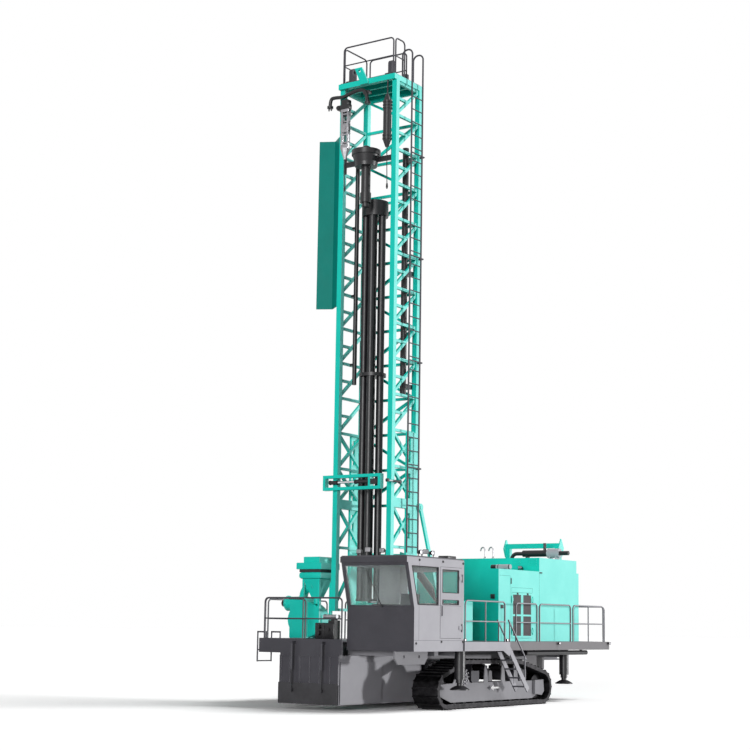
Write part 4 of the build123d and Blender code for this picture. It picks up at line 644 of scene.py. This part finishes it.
# painted shade: a black band set into the gap between the filter box's two lower tiers
wide, deep, low, high = collectorData["band"]
block(stub, (midX - wide, midY - deep, low), (midX + wide, midY + deep, high))
finishPiece("collectorSealsAndGapShade", stub, blackPaint, "base")
low, high = collectorData["ductZ"]
ductRoute = ((ductX, midY, low), (ductX, midY - 0.02, high), (midX, midY - 0.13, high))
settle(bentLine("collectorDuct", ductRoute, collectorData["duct"]), tealPaintAndSideLight, "base")
filterBox = bmesh.new()
for wide, deep, low, high, edge in collectorData["tiers"]:
    block(filterBox, (midX - wide, midY - deep, low), (midX + wide, midY + deep, high), edge)
wide, low, high = collectorData["hopper"]
hopper = block(filterBox, (midX - wide, midY - wide, low), (midX + wide, midY + wide, high))
taper = collectorData["hopperTaper"]
bmesh.ops.scale(filterBox, vec=(taper, taper, 1.0), space=Matrix.Translation((-midX, -midY, 0)),
                verts=[v for v in hopper if v.co.z < (low + high) / 2])
spoutLow, spoutHigh, radius = collectorData["spout"]
barrel(filterBox, (midX, midY, spoutLow), (midX, midY, spoutHigh), radius, sides=24)
leg, shoe, shoeTop = collectorData["leg"], collectorData["shoe"], deckTop + collectorData["shoeTall"]
for x in (midX - collectorData["legX"], midX + collectorData["legX"]):
    for y in (midY - collectorData["legY"], midY + collectorData["legY"]):
        block(filterBox, (x - leg, y - leg, deckTop), (x + leg, y + leg, high))
        block(filterBox, (x - shoe, y - shoe, deckTop), (x + shoe, y + shoe, shoeTop))
finishPiece("collectorFilter", filterBox, tealPaintAndSideLight, "base")

# bright sleeves on the mast's lock pins, and the dark pump set at the left foot
pinData = {"y": -3.66, "z": 2.28, "sleeves": ((0.69, 1.09, 0.058), (1.06, 1.10, 0.068))}    # from, to, radius
sleeves = bmesh.new()
y, z = pinData["y"], pinData["z"]
for side in (-1, 1):
    for start, end, radius in pinData["sleeves"]:
        barrel(sleeves, (side * start, y, z), (side * end, y, z), radius, sides=28)
finishPiece("lockPinSleeves", sleeves, brightSteel, "base")
pumpData = {"boxes": (((-1.26, -3.86, 1.70), (-0.97, -3.50, 2.12), 0.02),
                      ((-0.965, -3.86, 1.70), (-0.66, -3.80, 2.10), 0.015)),
            # x, z, radius, front and rear of each round cover
            "covers": ((-1.12, 1.86, 0.06, -3.93, -3.86), (-1.12, 2.02, 0.06, -3.93, -3.86),
                       (-0.82, 1.95, 0.045, -3.89, -3.85))}
pumps = bmesh.new()
for low, high, edge in pumpData["boxes"]:
    block(pumps, low, high, edge)
for x, z, radius, front, rear in pumpData["covers"]:
    barrel(pumps, (x, front, z), (x, rear, z), radius, sides=24)
finishPiece("footPumps", pumps, blackPaint, "base")
print("dust collector set")

# arrow that shows the way forward on the track frame
arrowData = {"x": (2.347, 2.352), "z": 0.495, "tail": -0.45, "neck": -0.74, "point": -0.90,
             "shaft": 0.023, "head": 0.07}
(xa, xb), z, neckY, headHalf = (arrowData[key] for key in ("x", "z", "neck", "head"))
arrow = bmesh.new()
block(arrow, (xa, neckY, z - arrowData["shaft"]), (xb, arrowData["tail"], z + arrowData["shaft"]))
head = block(arrow, (xa, arrowData["point"], z - headHalf), (xb, neckY, z + headHalf))
for v in head:
    if v.co.y < neckY - 0.06:
        v.co.z = z
finishPiece("frameArrow", arrow, whitePaint, "base")

# bright chain links on the ground run, two rows on each track
linkData = {"rows": (2.36, 1.76), "first": -3.20, "pitch": 0.172, "count": 30, "half": (0.028, 0.07),
            "z": (0.070, 0.128)}
(wide, long), (low, high) = linkData["half"], linkData["z"]
links = bmesh.new()
for side in (-1, 1):
    for x in linkData["rows"]:
        for i in range(linkData["count"]):
            y = linkData["first"] + i * linkData["pitch"]
            block(links, (side * x - wide, y - long, low), (side * x + wide, y + long, high), 0.012)
finishPiece("groundLinks", links, brightSteel, "base")

# bolt circles on the final drives
driveData = {"y": -2.25, "z": 0.80, "x": (2.30, 2.372), "circles": ((0.12, 8), (0.20, 12)), "bolt": 0.016}
driveBolts = bmesh.new()
xa, xb = driveData["x"]
for side in (-1, 1):
    for ring, count in driveData["circles"]:
        for i in range(count):
            angle = 2 * math.pi * i / count
            y, z = driveData["y"] + ring * math.cos(angle), driveData["z"] + ring * math.sin(angle)
            barrel(driveBolts, (side * xa, y, z), (side * xb, y, z), driveData["bolt"], sides=6)
finishPiece("driveBolts", driveBolts, brightSteel, "base")
print("undercarriage dressed")


def backdropRays(tree):
    # 1 for the rays that see the backdrop: from the camera, off metal or through glass
    rays = tree.nodes.new("ShaderNodeLightPath").outputs
    seen = rays["Is Camera Ray"]
    for kind in ("Is Glossy Ray", "Is Transmission Ray"):
        seen = addNode(tree, "ShaderNodeMath", {0: seen, 1: rays[kind]}, operation="MAXIMUM").outputs[0]
    return seen


# pale floor that keeps the soft shadow and looks white in the picture
floorData = {"half": 400.0, "bounce": "#8C8C8C", "seen": 1.28, "rough": 0.9}
floorMesh = bpy.data.meshes.new("floor")
shape = bmesh.new()
bmesh.ops.create_grid(shape, x_segments=1, y_segments=1, size=floorData["half"])
shape.to_mesh(floorMesh)
shape.free()
floor = bpy.data.objects.new("floor", floorMesh)
bpy.context.collection.objects.link(floor)
floorMaterial, tree, shader, place = startMaterial("paleFloor")
tone = addNode(tree, "ShaderNodeMix", {"Factor": backdropRays(tree), "A": linear(floorData["bounce"]),
                                       "B": [floorData["seen"]] * 3 + [1.0]}, data_type="RGBA")
tree.links.new(tone.outputs["Result"], shader.inputs["Base Color"])
shader.inputs["Roughness"].default_value = floorData["rough"]
shader.inputs["Specular IOR Level"].default_value = 0.0
floorMesh.materials.append(floorMaterial)

# even sky, a low key from behind the cab side, a soft fill from the front and light from above
lightData = {
    "sky": "#FFFFFF", "skyOnObject": 0.2, "skySeen": 1.0,
    # name, strength, spread in degrees and direction of each sun
    "suns": (("key", 1.9, 3, (-0.8, -0.6, -0.02)), ("fill", 2.9, 25, (-0.3, 0.94, -0.05)),
             ("top", 2.2, 30, (-0.5, -0.4, -0.8))),
}
world = bpy.data.worlds.new("studio")
bpy.context.scene.world = world
world.use_nodes = True
tree = world.node_tree
sky = tree.nodes["Background"]
strength = addNode(tree, "ShaderNodeMapRange",
                   {"Value": backdropRays(tree), "To Min": lightData["skyOnObject"],
                    "To Max": lightData["skySeen"]})
tree.links.new(strength.outputs["Result"], sky.inputs["Strength"])
sky.inputs["Color"].default_value = linear(lightData["sky"])
for name, power, spread, direction in lightData["suns"]:
    lamp = bpy.data.objects.new(name, bpy.data.lights.new(name, "SUN"))
    lamp.data.energy = power
    lamp.data.angle = math.radians(spread)
    lamp.rotation_euler = Vector(direction).to_track_quat("-Z", "Y").to_euler()
    bpy.context.collection.objects.link(lamp)
bpy.context.scene.view_settings.view_transform = "Standard"
print("floor and light set")
